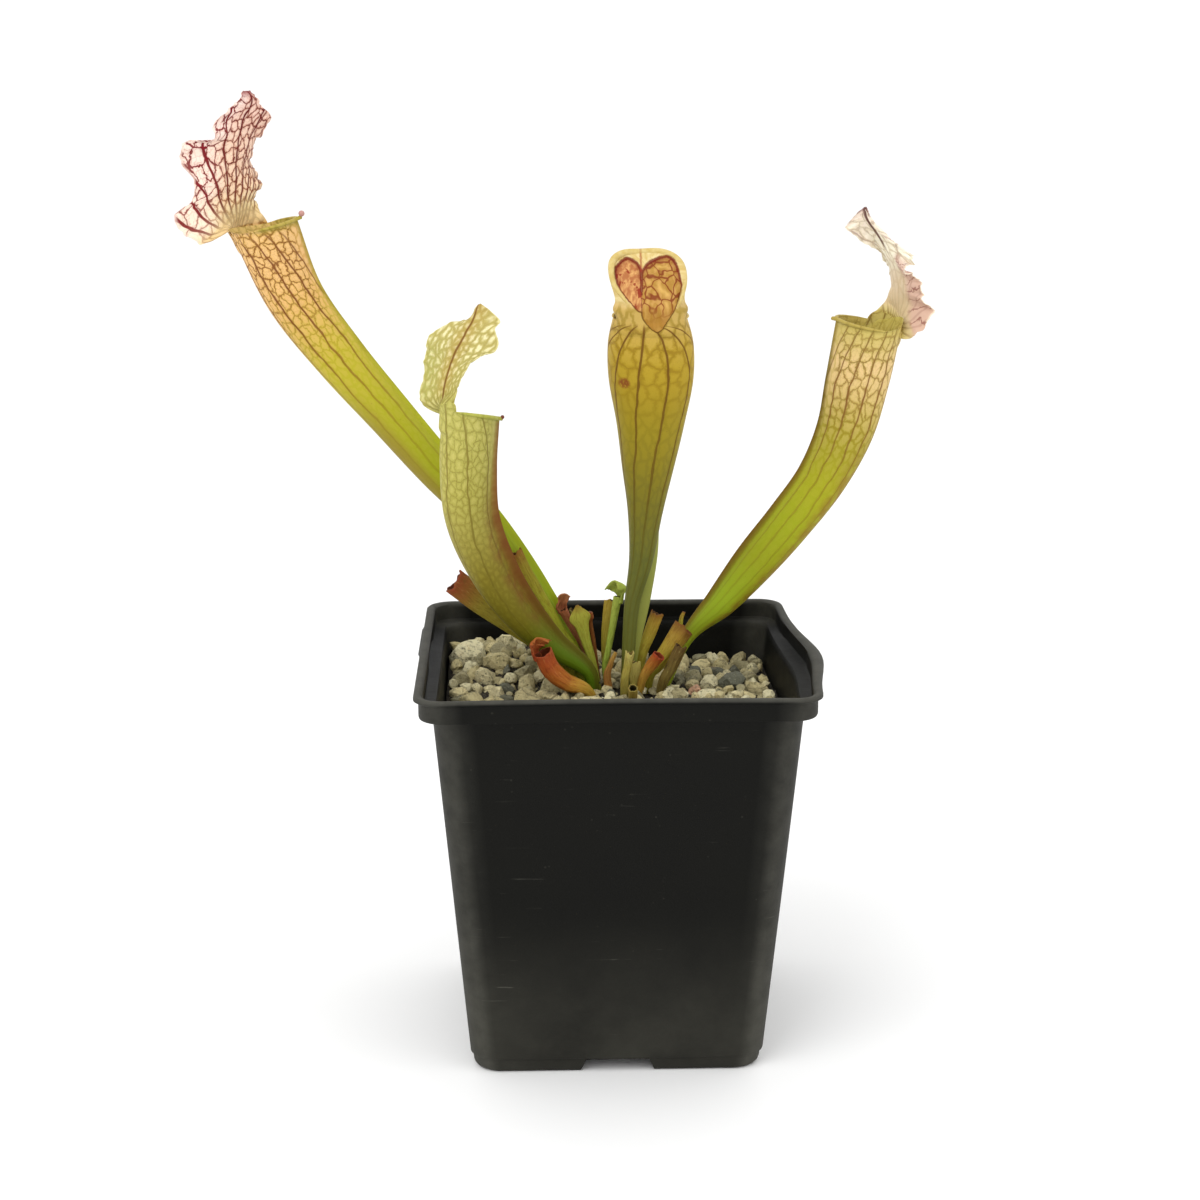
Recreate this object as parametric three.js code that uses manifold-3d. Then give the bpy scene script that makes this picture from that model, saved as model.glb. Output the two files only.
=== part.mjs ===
// A potted velvet pitcher plant, in millimetres, +Z up.
// The origin is the middle of the pot's base, on the surface that it stands on. The pot's front
// faces -Y. Leaves rise from one rhizome through the potting soil and its gravel top dressing.
import * as THREE from 'three';
import { mergeVertices } from 'three/addons/utils/BufferGeometryUtils.js';
import Module from 'manifold-3d';

const wasm = await Module();
wasm.setup();

// Driving dimensions
const CLEAR = 0.3;            // gap kept between neighbouring pieces
const POT_HEIGHT = 104.5;
const LIP_HALF = 51;          // half the width over the lip
const LIP_WIDTH = 1.6;
const WALL = 1.2;
const BAND_HEIGHT = 6.2;
const BAND_HALF = 49.8;
const BODY_TOP_HALF = 46.5;   // half the width of the body under the band
const BODY_BASE_HALF = 38.4;
const BASE_STEP = 4.2;        // height of the fine step line above the surface
const CORNER_RADIUS = 7;
const FLOOR = 1.4;
const CHANNEL_HEIGHT = 3.1;   // drain channels that cross under the floor
const CHANNEL_FOOT = 19;
const CHANNEL_TOP = 16.4;
const PAD_RADIUS = 7;         // standing pad in the middle of the underside
const DRAIN_RADIUS = 4;
const DRAIN_OUT = 21;
const SIDE_BULGE = 4.6;       // how far the soft right side bulges at the rim
const BULGE_CENTRE = -9;
const BULGE_WIDTH = 24;
const FRONT_BOW = 1.5;
const SOIL_TOP = 84;
const GRAVEL_LEVEL = 90.5;
const GRAVEL_MOUND = 4.5;     // extra height of the gravel at the back left
const STONE_PITCH = 8.8;      // mean distance between the stones of the top dressing
const GROOVE_DEPTH = 2.4;
const STONE_LIFT = 0.9;       // most that a stone stands above or below its neighbours
const STONE_TILT = 0.22;
const POCKET_CENTRE = 10;     // shallow pockets in the ledge of the two side walls
const POCKET_LENGTH = 26;
const POCKET_DEPTH = 0.4;
const RIB_X = 14;             // small rib inside the back wall
const RIB_WIDTH = 0.9;
const TRAP_WALL = 0.8;        // wall of a pitcher's tube
const HOOD_THICKNESS = 0.8;
const MARGIN_RADIUS = 1.1;    // rolled margin of the hood that is seen from its back
const MARGIN_STEPS = 20;
const SEED = 41;

const BLACK_PLASTIC = { color: 0x25272a, roughness: 0.62, metalness: 0 };
const STONE = { color: 0xc9c3a8, roughness: 0.95, metalness: 0 };
const SOIL = { color: 0x2c211a, roughness: 1, metalness: 0 };
const RHIZOME = { color: 0x6a4a2c, roughness: 0.9, metalness: 0 };
const FRESH_LEAF = { color: 0xa4ad3a, roughness: 0.5, metalness: 0 };
const PALE_LEAF = { color: 0xb9bb6a, roughness: 0.5, metalness: 0 };
const RED_LEAF = { color: 0xb0563a, roughness: 0.55, metalness: 0 };
const DRIED_LEAF = { color: 0x8f7440, roughness: 0.8, metalness: 0 };

const object = new THREE.Group();

// A repeatable random number from 0 to 1.
let seedState = SEED;
function random() {
  seedState = (seedState + 0x6d2b79f5) | 0;
  let mixed = Math.imul(seedState ^ (seedState >>> 15), 1 | seedState);
  mixed = (mixed + Math.imul(mixed ^ (mixed >>> 7), 61 | mixed)) ^ mixed;
  return ((mixed ^ (mixed >>> 14)) >>> 0) / 4294967296;
}

// Turns a closed geometry into a solid that can be joined and cut.
function solidOf(geometry) {
  const bare = new THREE.BufferGeometry();
  bare.setAttribute('position', geometry.getAttribute('position'));
  bare.setIndex(geometry.getIndex());
  const merged = mergeVertices(bare, 1e-3);
  return new wasm.Manifold(new wasm.Mesh({
    numProp: 3,
    vertProperties: new Float32Array(merged.getAttribute('position').array),
    triVerts: new Uint32Array(merged.getIndex().array),
  }));
}

// The largest single body of a solid: loose scraps and sealed hollows are left out.
function largestBody(solid) {
  return solid.decompose().reduce((best, body) => (body.volume() > best.volume() ? body : best));
}

// Gives a solid back as a geometry.
function geometryOf(solid) {
  const mesh = largestBody(solid).getMesh();
  const geometry = new THREE.BufferGeometry();
  geometry.setAttribute('position', new THREE.BufferAttribute(mesh.vertProperties.slice(), 3));
  geometry.setIndex(new THREE.BufferAttribute(mesh.triVerts.slice(), 1));
  return geometry;
}

function addPiece(name, solid, finish) {
  const mesh = new THREE.Mesh(geometryOf(solid), new THREE.MeshStandardMaterial(finish));
  mesh.name = name;
  object.add(mesh);
}

// A closed skin over a stack of rings, each with the same number of points, with a fan over
// the first ring and over the last. A cap's middle may be sunk below its ring.
function skin(rings, sink = 0) {
  const count = rings[0].length;
  const points = rings.flat();
  const indices = [];
  for (let level = 0; level < rings.length - 1; level += 1) {
    for (let i = 0; i < count; i += 1) {
      const next = (i + 1) % count;
      const low = level * count;
      const high = low + count;
      indices.push(low + i, low + next, high + next, low + i, high + next, high + i);
    }
  }
  const middle = (ring) => ring
    .reduce((sum, point) => sum.add(point), new THREE.Vector3())
    .divideScalar(count);
  const last = rings.length - 1;
  const start = points.push(middle(rings[0])) - 1;
  const inward = middle(rings[last - 1]).sub(middle(rings[last])).normalize();
  const end = points.push(middle(rings[last]).addScaledVector(inward, sink)) - 1;
  for (let i = 0; i < count; i += 1) {
    const next = (i + 1) % count;
    indices.push(start, next, i);
    indices.push(end, last * count + i, last * count + next);
  }
  const geometry = new THREE.BufferGeometry().setFromPoints(points);
  geometry.setIndex(indices);
  return geometry;
}

// Pot

// How far the soft pot's side is pushed out at a point, more towards the rim.
function flexed(x, y, z) {
  const share = (z / POT_HEIGHT) ** 1.5;
  const right = Math.max(0, x / LIP_HALF) ** 6;
  const front = Math.max(0, -y / LIP_HALF) ** 6;
  const bulge = SIDE_BULGE * Math.exp(-(((y - BULGE_CENTRE) / BULGE_WIDTH) ** 2)) - 1;
  const bow = FRONT_BOW * Math.max(0, 1 - (x / LIP_HALF) ** 2);
  return new THREE.Vector3(x + share * right * bulge, y + share * front * bow, z);
}

// A rounded square of the pot at one height.
function squareRing(half, z, radius = CORNER_RADIUS) {
  const cornerSteps = 3;
  const sideSteps = 6;
  const ring = [];
  for (let corner = 0; corner < 4; corner += 1) {
    const turn = (corner * Math.PI) / 2;
    const flat = half - radius;
    const outline = [];
    for (let i = 0; i <= cornerSteps; i += 1) {
      const angle = (i / cornerSteps) * (Math.PI / 2);
      outline.push([flat + radius * Math.cos(angle), flat + radius * Math.sin(angle)]);
    }
    for (let i = 1; i < sideSteps; i += 1) {
      outline.push([flat - (2 * flat * i) / sideSteps, half]);
    }
    for (const [x, y] of outline) {
      ring.push(flexed(
        x * Math.cos(turn) - y * Math.sin(turn),
        x * Math.sin(turn) + y * Math.cos(turn),
        z,
      ));
    }
  }
  return ring;
}

// Half the outer width of the tapered body.
function bodyHalf(z) {
  const share = (z - BASE_STEP) / (POT_HEIGHT - BAND_HEIGHT - BASE_STEP);
  return BODY_BASE_HALF + (BODY_TOP_HALF - BODY_BASE_HALF) * share;
}

// A straight bar with slanted sides along X, standing on the surface.
function channelBar(foot, top, height, length) {
  const outline = new THREE.Shape([
    new THREE.Vector2(-foot / 2, -1),
    new THREE.Vector2(foot / 2, -1),
    new THREE.Vector2(foot / 2, 0),
    new THREE.Vector2(top / 2, height),
    new THREE.Vector2(-top / 2, height),
    new THREE.Vector2(-foot / 2, 0),
  ]);
  const bar = new THREE.ExtrudeGeometry(outline, { depth: length, bevelEnabled: false });
  bar.translate(0, 0, -length / 2);
  bar.rotateX(Math.PI / 2);
  bar.rotateZ(Math.PI / 2);
  return solidOf(bar);
}

// The two bars that cross under the pot, made wider and taller by an offset.
function channelCross(offset, length) {
  const one = channelBar(
    CHANNEL_FOOT + 2 * offset,
    CHANNEL_TOP + 2 * offset,
    CHANNEL_HEIGHT + offset,
    length,
  );
  return one.add(one.rotate([0, 0, 90]));
}

function upright(radius, low, high, x, y, sides = 16) {
  const cylinder = new THREE.CylinderGeometry(radius, radius, high - low, sides);
  cylinder.rotateX(Math.PI / 2);
  cylinder.translate(x, y, (low + high) / 2);
  return solidOf(cylinder);
}

// A long shallow pocket that follows the inner face of one side wall, above the ledge.
function ledgePocket(side, ledge) {
  const face = side * (BAND_HALF - WALL);
  const ys = [-0.5, -0.25, 0, 0.25, 0.5].map((share) => POCKET_CENTRE + POCKET_LENGTH * share);
  const low = ys.map((y) => [y, ledge + 0.6]);
  const high = ys.map((y) => [y, POT_HEIGHT - WALL - 1]).reverse();
  const outline = side > 0 ? [...low, ...high] : [...low, ...high].reverse();
  return solidOf(skin([-1, POCKET_DEPTH].map((depth) => outline
    .map(([y, z]) => flexed(face + side * depth, y, z)))));
}

function makePot() {
  const bandFoot = POT_HEIGHT - BAND_HEIGHT;
  const lipFoot = POT_HEIGHT - WALL;
  const ledge = bandFoot + WALL;
  const shell = skin([
    squareRing(BODY_BASE_HALF - 2.2, 0),
    squareRing(BODY_BASE_HALF - 0.9, 1),
    squareRing(BODY_BASE_HALF - 0.5, BASE_STEP - 0.2),
    squareRing(BODY_BASE_HALF, BASE_STEP),
    squareRing(bodyHalf(40), 40),
    squareRing(bodyHalf(72), 72),
    squareRing(BODY_TOP_HALF, bandFoot),
    squareRing(BAND_HALF - 0.6, bandFoot),
    squareRing(BAND_HALF, bandFoot + 0.8),
    squareRing(BAND_HALF, lipFoot - 0.2),
    squareRing(LIP_HALF, lipFoot),
    squareRing(LIP_HALF, POT_HEIGHT - 0.3),
    squareRing(LIP_HALF - 0.4, POT_HEIGHT),
    squareRing(LIP_HALF - LIP_WIDTH, POT_HEIGHT, CORNER_RADIUS - LIP_WIDTH),
    squareRing(BAND_HALF - WALL, lipFoot - 0.4, CORNER_RADIUS - WALL),
    squareRing(BAND_HALF - WALL, ledge + 0.4, CORNER_RADIUS - WALL),
    squareRing(BODY_TOP_HALF - WALL + 0.2, ledge, CORNER_RADIUS - WALL),
    squareRing(BODY_TOP_HALF - WALL, bandFoot, CORNER_RADIUS - WALL),
    squareRing(bodyHalf(72) - WALL, 72, CORNER_RADIUS - WALL),
    squareRing(bodyHalf(40) - WALL, 40, CORNER_RADIUS - WALL),
    squareRing(BODY_BASE_HALF - WALL - 0.5, BASE_STEP, CORNER_RADIUS - WALL),
    squareRing(BODY_BASE_HALF - WALL - 1.4, FLOOR, CORNER_RADIUS - WALL),
  ]);
  const outside = skin([
    squareRing(BODY_BASE_HALF - 1, 0.5),
    squareRing(BODY_BASE_HALF - 1, CHANNEL_HEIGHT + FLOOR + 1),
  ]);
  const span = 2 * LIP_HALF;
  const ridge = channelCross(FLOOR, span).intersect(solidOf(outside));
  const pad = upright(PAD_RADIUS, -1, CHANNEL_HEIGHT, 0, 0, 24);
  let pot = solidOf(shell).add(ridge).subtract(channelCross(0, span).subtract(pad));
  for (const [x, y] of [[DRAIN_OUT, 0], [-DRAIN_OUT, 0], [0, DRAIN_OUT], [0, -DRAIN_OUT]]) {
    pot = pot.subtract(upright(DRAIN_RADIUS, 1, CHANNEL_HEIGHT + FLOOR + 1, x, y));
  }
  for (const side of [-1, 1]) {
    pot = pot.subtract(ledgePocket(side, ledge));
  }
  const rib = new THREE.BoxGeometry(RIB_WIDTH, RIB_WIDTH, BAND_HEIGHT - 2);
  rib.translate(RIB_X, BAND_HALF - WALL, ledge + 2);
  return pot.add(solidOf(rib));
}

// The space inside the pot between two heights, kept clear of the wall.
function potFilling(low, high) {
  const inset = WALL + CLEAR;
  const radius = CORNER_RADIUS - inset;
  const levels = [low, 40, 72, high].filter((z) => z >= low && z <= high);
  const rings = [...new Set(levels)].map((z) => squareRing(bodyHalf(Math.max(z, BASE_STEP)) - inset
    - (z < BASE_STEP ? 1.6 : 0.2), z, radius));
  return solidOf(skin(rings));
}

// Leaves

// A smooth curve through stations of [x, y, z, half width, half depth, wing height].
function leafCurves(stations) {
  const curve = (pick) => new THREE.CatmullRomCurve3(
    stations.map((station) => new THREE.Vector3(...pick(station))),
    false,
    'catmullrom',
    0.5,
  );
  return { path: curve((s) => s.slice(0, 3)), size: curve((s) => s.slice(3, 6)) };
}

const NO_LIP = { out: 0, up: 0, beak: 0 };

// One ring round a leaf at a share of its length. The section is an oval with a ridge, the
// wing, in the middle of its face. The grown value moves the surface out. A lip goes out and up
// by its own amounts, least at the back, where the hood grows.
function leafRing(leaf, curves, share, grown, lip = NO_LIP) {
  const centre = curves.path.getPoint(share);
  const along = curves.path.getTangent(share);
  const size = curves.size.getPoint(share);
  const face = new THREE.Vector3(...leaf.baseFace).lerp(new THREE.Vector3(...leaf.face), share);
  face.addScaledVector(along, -face.dot(along)).normalize();
  const across = along.clone().cross(face);
  const rise = (leaf.rise ?? 0) * THREE.MathUtils.smoothstep(share, 0.75, 1);
  const ring = [];
  for (let i = 0; i < leaf.sides; i += 1) {
    const turn = (2 * Math.PI * i) / leaf.sides;
    const roll = 0.25 + 0.75 * Math.cos(turn / 2) ** 2;
    const out = grown + lip.out * roll;
    const ridge = i === 0 ? size.z + lip.beak : 0;
    ring.push(centre.clone()
      .addScaledVector(across, Math.max(size.x + out, 0.2) * Math.sin(turn))
      .addScaledVector(face, Math.max(size.y + out, 0.2) * Math.cos(turn) + ridge)
      .addScaledVector(along, rise * Math.cos(turn) + lip.up * roll));
  }
  return ring;
}

function leafRings(leaf, from, to, steps, grown) {
  const curves = leafCurves(leaf.stations);
  const rings = [];
  for (let i = 0; i <= steps; i += 1) {
    rings.push(leafRing(leaf, curves, from + ((to - from) * i) / steps, grown));
  }
  return rings;
}

// A leaf's tube as one solid body, with a dished cut end.
function plainLeaf(leaf) {
  return solidOf(skin(leafRings(leaf, 0, 1, leaf.steps, 0), leaf.dish ?? 1));
}

// The rolled lip, as steps from the outer wall over to the inner one.
const LIP_ROLL = [
  { out: 1, up: 0.3, beak: 1 },
  { out: 0.9, up: 1, beak: 1 },
  { out: 0.2, up: 1.2, beak: 0 },
];

// A leaf's tube that is open at the top: the outer wall, a rolled lip and the inner wall.
function openLeaf(leaf) {
  const curves = leafCurves(leaf.stations);
  const inside = { ...leaf, stations: leaf.stations.map((s) => [...s.slice(0, 5), 0]) };
  const innerSteps = Math.round(leaf.steps * (1 - leaf.trapFloor));
  const lip = LIP_ROLL.map((step) => leafRing(leaf, curves, 1, 0, step));
  return solidOf(skin([
    ...leafRings(leaf, 0, 1, leaf.steps, 0),
    ...lip,
    ...leafRings(inside, 1, leaf.trapFloor, innerSteps, -TRAP_WALL),
  ]));
}

// The room that a leaf needs in what it stands in or beside.
function leafRoom(leaf, clear = CLEAR) {
  const [first, second] = leaf.stations;
  const start = new THREE.Vector3(...first);
  const back = start.clone().sub(new THREE.Vector3(...second)).normalize().multiplyScalar(clear);
  const low = [...start.clone().add(back).toArray(), ...first.slice(3)];
  const rings = leafRings(leaf, 0, 1, leaf.steps, clear);
  rings[0] = leafRing(leaf, leafCurves([low, ...leaf.stations.slice(1)]), 0, clear);
  return solidOf(skin(rings));
}

// A thin hood: across it each section is the parabola through the near, middle and far rails,
// and its edges wave up and down.
function hood({ near, middle, far, steps = 12, across = 4, wave = 0.5, waves = 3 }) {
  const rail = (points) => new THREE.CatmullRomCurve3(
    points.map((point) => new THREE.Vector3(...point)),
    false,
    'catmullrom',
    0.5,
  );
  const rails = [near, middle, far].map(rail);
  const at = (share, side) => {
    const [low, centre, high] = rails.map((curve) => curve.getPoint(share));
    const slope = high.clone().sub(low).divideScalar(2);
    const bend = high.clone().add(low).divideScalar(2).sub(centre);
    return centre.addScaledVector(slope, side).addScaledVector(bend, side * side);
  };
  const normalAt = (share, side) => {
    const step = 0.01;
    const along = at(Math.min(share + step, 1), side).sub(at(Math.max(share - step, 0), side));
    const over = at(share, Math.min(side + step, 1)).sub(at(share, Math.max(side - step, -1)));
    return along.cross(over).normalize();
  };
  const top = [];
  const under = [];
  for (let i = 0; i <= steps; i += 1) {
    for (let j = 0; j <= across; j += 1) {
      const share = i / steps;
      const side = (2 * j) / across - 1;
      const point = at(share, side);
      const normal = normalAt(share, side);
      const ripple = wave * Math.abs(side) ** 3 * Math.sin(2 * Math.PI * waves * share + side);
      point.addScaledVector(normal, ripple);
      top.push(point.clone().addScaledVector(normal, HOOD_THICKNESS / 2));
      under.push(point.clone().addScaledVector(normal, -HOOD_THICKNESS / 2));
    }
  }
  const row = across + 1;
  const offset = top.length;
  const indices = [];
  const wall = (a, b) => indices.push(a, b, b + offset, a, b + offset, a + offset);
  for (let i = 0; i < steps; i += 1) {
    for (let j = 0; j < across; j += 1) {
      const a = i * row + j;
      const [b, c, d] = [a + 1, a + row + 1, a + row];
      indices.push(a, c, b, a, d, c);
      indices.push(a + offset, b + offset, c + offset, a + offset, c + offset, d + offset);
    }
    wall((i + 1) * row, i * row);
    wall(i * row + across, (i + 1) * row + across);
  }
  for (let j = 0; j < across; j += 1) {
    wall(j, j + 1);
    wall(steps * row + j + 1, steps * row + j);
  }
  const geometry = new THREE.BufferGeometry().setFromPoints([...top, ...under]);
  geometry.setIndex(indices);
  return solidOf(geometry);
}

const BIG = { sides: 14, steps: 17, trapFloor: 0.5 };
const SMALL = { sides: 8, steps: 7, dish: 0.8 };

const LEAVES = [
  {
    ...BIG,
    name: 'pitcher_tall_left',
    finish: FRESH_LEAF,
    baseFace: [0.7, -0.6, 0.4],
    face: [0.87, -0.5, 0.3],
    rise: -1.4,
    stations: [
      [-7.5, 13, 85, 1.4, 1.1, 0.3],
      [-10, 14.5, 98.5, 2.1, 1.7, 1],
      [-20.5, 16.5, 116.5, 2.9, 2.5, 1.4],
      [-32.5, 17.5, 133, 3.9, 3.5, 1.5],
      [-46, 18.5, 148, 5.2, 4.8, 1.3],
      [-59, 19.5, 163.5, 6, 5.6, 1],
      [-72, 21, 179, 6.9, 6.5, 0.8],
      [-83.5, 22.5, 195, 7.8, 7.4, 0.6],
      [-91, 24, 213, 9, 8.6, 0.5],
    ],
    hood: {
      near: [
        [-99.5, 21, 209.5], [-106.5, 21, 209], [-114, 23, 214], [-109, 26, 223.5],
        [-112, 24, 233], [-107.5, 27, 236.5], [-103, 29, 241], [-97, 31, 247.5],
      ],
      middle: [
        [-98.5, 28.5, 208], [-98, 29, 216], [-97.5, 29, 220], [-97, 30, 225],
        [-96.5, 31, 230.5], [-95.5, 32, 235], [-93, 33, 241], [-96, 32, 248.5],
      ],
      far: [
        [-94, 31, 210], [-94.5, 36, 215], [-93, 40, 219.5], [-95.5, 42, 224.5],
        [-96, 42, 230], [-94, 41, 234.5], [-89.5, 38, 240.5], [-94.5, 33, 247.5],
      ],
    },
  },
  {
    ...BIG,
    name: 'pitcher_front_left',
    finish: FRESH_LEAF,
    baseFace: [0.6, -0.6, 0.5],
    face: [1, -0.1, 0],
    rise: -1.8,
    stations: [
      [-5, 7.5, 85, 1.3, 1, 0.3],
      [-6.5, 5.5, 96, 2, 1.6, 0.8],
      [-17, 3.5, 105, 4.4, 3.2, 1.4],
      [-26, 0.5, 116, 6.3, 4.4, 1.8],
      [-33, -2, 128, 7.1, 5.4, 2],
      [-37.5, -4.5, 141, 7.2, 6.2, 1.8],
      [-38, -7.5, 155, 7.3, 6.8, 1.2],
      [-37, -10, 168.5, 7.2, 7, 0.8],
    ],
    hood: {
      near: [
        [-39, -13.5, 168], [-39, -14, 173.5], [-38, -14, 178], [-35.5, -14, 181.5],
        [-33, -14, 184.5], [-29.5, -14, 187], [-29, -12, 192.5], [-33.5, -9, 196.5],
      ],
      middle: [
        [-43.8, -10, 165.5], [-44, -10, 171], [-42.5, -10, 176.5], [-42, -10, 180.5],
        [-40.5, -10, 184.5], [-38.5, -9.5, 189.5], [-36.5, -9, 192.5], [-34, -8.5, 197.5],
      ],
      far: [
        [-42.5, -6, 165.5], [-47, -4, 168.5], [-49.5, -3, 173], [-48.5, -3, 179],
        [-47.5, -4, 185], [-44, -5, 189.5], [-39, -6.5, 192], [-35, -8, 196.5],
      ],
    },
  },
  {
    ...BIG,
    name: 'pitcher_centre',
    finish: FRESH_LEAF,
    baseFace: [0.93, 0.37, 0],
    face: [0.2, 0.98, 0.1],
    rise: -3,
    stations: [
      [3.5, 9.5, 85, 1.5, 1.2, 0.3],
      [4.5, 8, 101, 1.9, 1.7, 1.6],
      [5.3, 6, 114.5, 2.1, 2, 4],
      [7.6, 4, 127.5, 3.4, 3, 3],
      [8.5, 2, 140.5, 4.8, 4.3, 1.6],
      [9, 0, 153, 7, 6.2, 1.2],
      [9.5, -2, 165, 9, 8, 0.9],
      [9.5, -4, 176.5, 11, 9.6, 0.7],
      [9.3, -6, 186, 11, 9.6, 0.5],
      [9, -7.5, 193, 9.4, 8.4, 0.5],
    ],
    hood: {
      near: [
        [-0.4, -9.5, 183.5], [-1, -9, 188.5], [-1, -9.5, 194], [0, -11, 198],
        [-1.5, -10, 204], [0, -7, 208], [3.5, -5, 209.5],
      ],
      middle: [
        [9, -14.9, 184.5], [9.5, -16.6, 189.5], [9, -17.2, 194.5], [8.5, -15.5, 198.5],
        [8, -11, 204], [7, -6, 208.5], [7, -4, 209.7],
      ],
      far: [
        [18.8, -9.5, 183.5], [19.2, -9, 188.5], [19, -9.5, 193.5], [17.5, -11, 198],
        [18, -10, 204], [16, -7, 207.5], [11.5, -5, 209.5],
      ],
      wave: 0,
      steps: 8,
    },
    margin: [
      [10.5, -17.4, 190.5], [5, -16.4, 194.5], [0.5, -12.2, 198], [-1.3, -10.4, 203],
      [-0.8, -8, 207], [2, -5.8, 209], [7, -4.4, 209.6], [12.5, -5.4, 209.3],
      [16.2, -7.6, 207.5], [17.8, -10.4, 203.5], [17, -12.2, 198], [14, -15.6, 194],
      [10.8, -17.4, 190.5],
    ],
  },
  {
    ...BIG,
    name: 'pitcher_right',
    finish: FRESH_LEAF,
    baseFace: [-0.6, -0.6, 0.5],
    face: [-0.87, -0.5, 0],
    rise: 0.6,
    stations: [
      [13, 13.5, 85, 1.3, 1, 0.3],
      [21, 18, 101.5, 1.8, 1.5, 0.6],
      [31, 18.5, 112, 4.3, 3.2, 1.2],
      [40, 19, 123, 6.2, 4.2, 1.3],
      [49, 19.5, 134, 6.7, 5, 1.2],
      [57.5, 20.5, 145.5, 6.9, 6, 1],
      [63.5, 21, 158.5, 7.8, 7.2, 0.8],
      [66.5, 21.5, 172, 8.7, 8.2, 0.6],
      [69, 22, 186, 9, 8.6, 0.5],
    ],
    hood: {
      near: [
        [76.5, 18, 184.5], [80.5, 18, 183.5], [85.5, 20, 191.5], [82.5, 23, 196.5],
        [82, 24, 200.5], [79, 26, 204.5], [73.5, 27, 209], [69, 27.5, 217],
      ],
      middle: [
        [76.5, 26, 184], [76.5, 26, 190.5], [76.5, 27, 194], [76.5, 28, 198],
        [76, 28.5, 202], [74, 29, 206.5], [71.5, 29, 211], [68.5, 28, 217.5],
      ],
      far: [
        [72.5, 29.5, 185.5], [76, 31, 192.5], [76.5, 33, 195.5], [76.5, 34, 199.5],
        [74.5, 34, 204], [69.5, 32, 207], [64, 31, 212.5], [67.5, 29, 217],
      ],
    },
  },
  {
    ...SMALL,
    name: 'young_pitcher_red',
    finish: RED_LEAF,
    baseFace: [0.5, -0.2, 0.8],
    face: [0.8, -0.5, 0.2],
    dish: 2,
    stations: [
      [-4.5, 2.5, 85, 1, 0.9, 0],
      [-6, 0, 94.5, 1.4, 1.2, 0.2],
      [-12, -2.5, 96.5, 1.7, 1.5, 0.4],
      [-17.5, -4, 99.8, 3, 2.4, 0.5],
      [-20, -4.5, 104.5, 2.7, 2.4, 0.3],
    ],
    hood: {
      near: [[-22, -6, 103], [-22.5, -6, 106], [-22, -5.5, 108.5]],
      middle: [[-22.3, -4, 103], [-22.6, -3.5, 106.5], [-21, -3.5, 109]],
      far: [[-20.5, -2.6, 103], [-19, -2.6, 106], [-18, -3, 108.5]],
      wave: 0,
      steps: 4,
      across: 4,
    },
  },
  {
    ...SMALL,
    name: 'cut_leaf_left',
    finish: DRIED_LEAF,
    baseFace: [0.3, -0.8, 0.3],
    face: [0.3, -0.8, 0.3],
    stations: [
      [-9.5, 10, 85, 1.2, 0.8, 0],
      [-12, 9.5, 96, 1.8, 0.9, 0.2],
      [-18.5, 9.5, 102.5, 2.4, 1.1, 0.3],
      [-26.5, 9.5, 108.5, 3, 1.3, 0.3],
      [-34.5, 9.5, 114.5, 3.2, 1.4, 0.3],
      [-42, 9, 120.5, 3.1, 1.4, 0.3],
    ],
  },
  {
    ...SMALL,
    name: 'cut_leaf_olive',
    finish: PALE_LEAF,
    baseFace: [0.3, -0.9, 0.2],
    face: [0.3, -0.9, 0.2],
    stations: [
      [-7, 10.4, 85, 1, 0.7, 0],
      [-9, 10.8, 98, 1.6, 0.8, 0.2],
      [-14, 11, 105.5, 2.1, 0.9, 0.3],
      [-19, 11.5, 114, 2.3, 0.9, 0.3],
      [-23.5, 11.8, 122, 2.4, 0.9, 0.3],
      [-26, 12, 127.5, 2.3, 0.9, 0.3],
    ],
  },
  {
    ...SMALL,
    name: 'dried_pitcher_grey',
    finish: DRIED_LEAF,
    baseFace: [0, -1, 0],
    face: [0, -1, 0],
    stations: [
      [-3.5, 15.5, 85, 0.9, 0.7, 0],
      [-5.5, 17, 96, 1.1, 0.9, 0],
      [-7, 17.5, 100, 1.3, 1, 0],
      [-8.5, 18, 105, 1.4, 1.1, 0],
      [-9.5, 18.5, 110, 1.7, 1.3, 0],
    ],
  },
  {
    ...SMALL,
    name: 'dried_pitcher_hooded',
    finish: RED_LEAF,
    baseFace: [0.5, -0.8, 0],
    face: [0.5, -0.8, 0],
    stations: [
      [-3.2, 13.3, 85, 0.8, 0.7, 0],
      [-5.6, 13, 96, 0.9, 0.8, 0],
      [-8, 12.8, 102, 1.1, 1, 0.2],
      [-11, 12.5, 107.5, 1.3, 1.1, 0.2],
      [-13, 12.5, 112, 1.5, 1.3, 0.2],
    ],
    hood: {
      near: [[-14.2, 12, 111], [-14.4, 12, 113.5], [-14.6, 11.5, 116]],
      middle: [[-13.2, 13.5, 111], [-13.2, 13.8, 114], [-12.6, 13.5, 116.5]],
      far: [[-12, 13.2, 111], [-11.2, 13.4, 113.5], [-10.4, 13, 115.5]],
      wave: 0,
      steps: 4,
      across: 4,
    },
  },
  {
    ...SMALL,
    name: 'pointed_leaf',
    finish: PALE_LEAF,
    baseFace: [0.2, -1, 0],
    face: [0.2, -1, 0],
    dish: 0,
    stations: [
      [-2.6, 8.8, 85, 0.8, 0.6, 0],
      [-4.8, 8.5, 96.5, 1, 0.5, 0],
      [-6.7, 8.5, 103.3, 1.3, 0.5, 0],
      [-8.2, 8.5, 108.4, 1.7, 0.5, 0],
      [-8.6, 8.4, 110.9, 2.3, 0.5, 0],
      [-9.2, 8.4, 113.6, 0.4, 0.4, 0],
    ],
  },
  {
    ...SMALL,
    name: 'knobbed_stalk',
    finish: RED_LEAF,
    baseFace: [0, -1, 0],
    face: [0, -1, 0],
    dish: 0,
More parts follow.
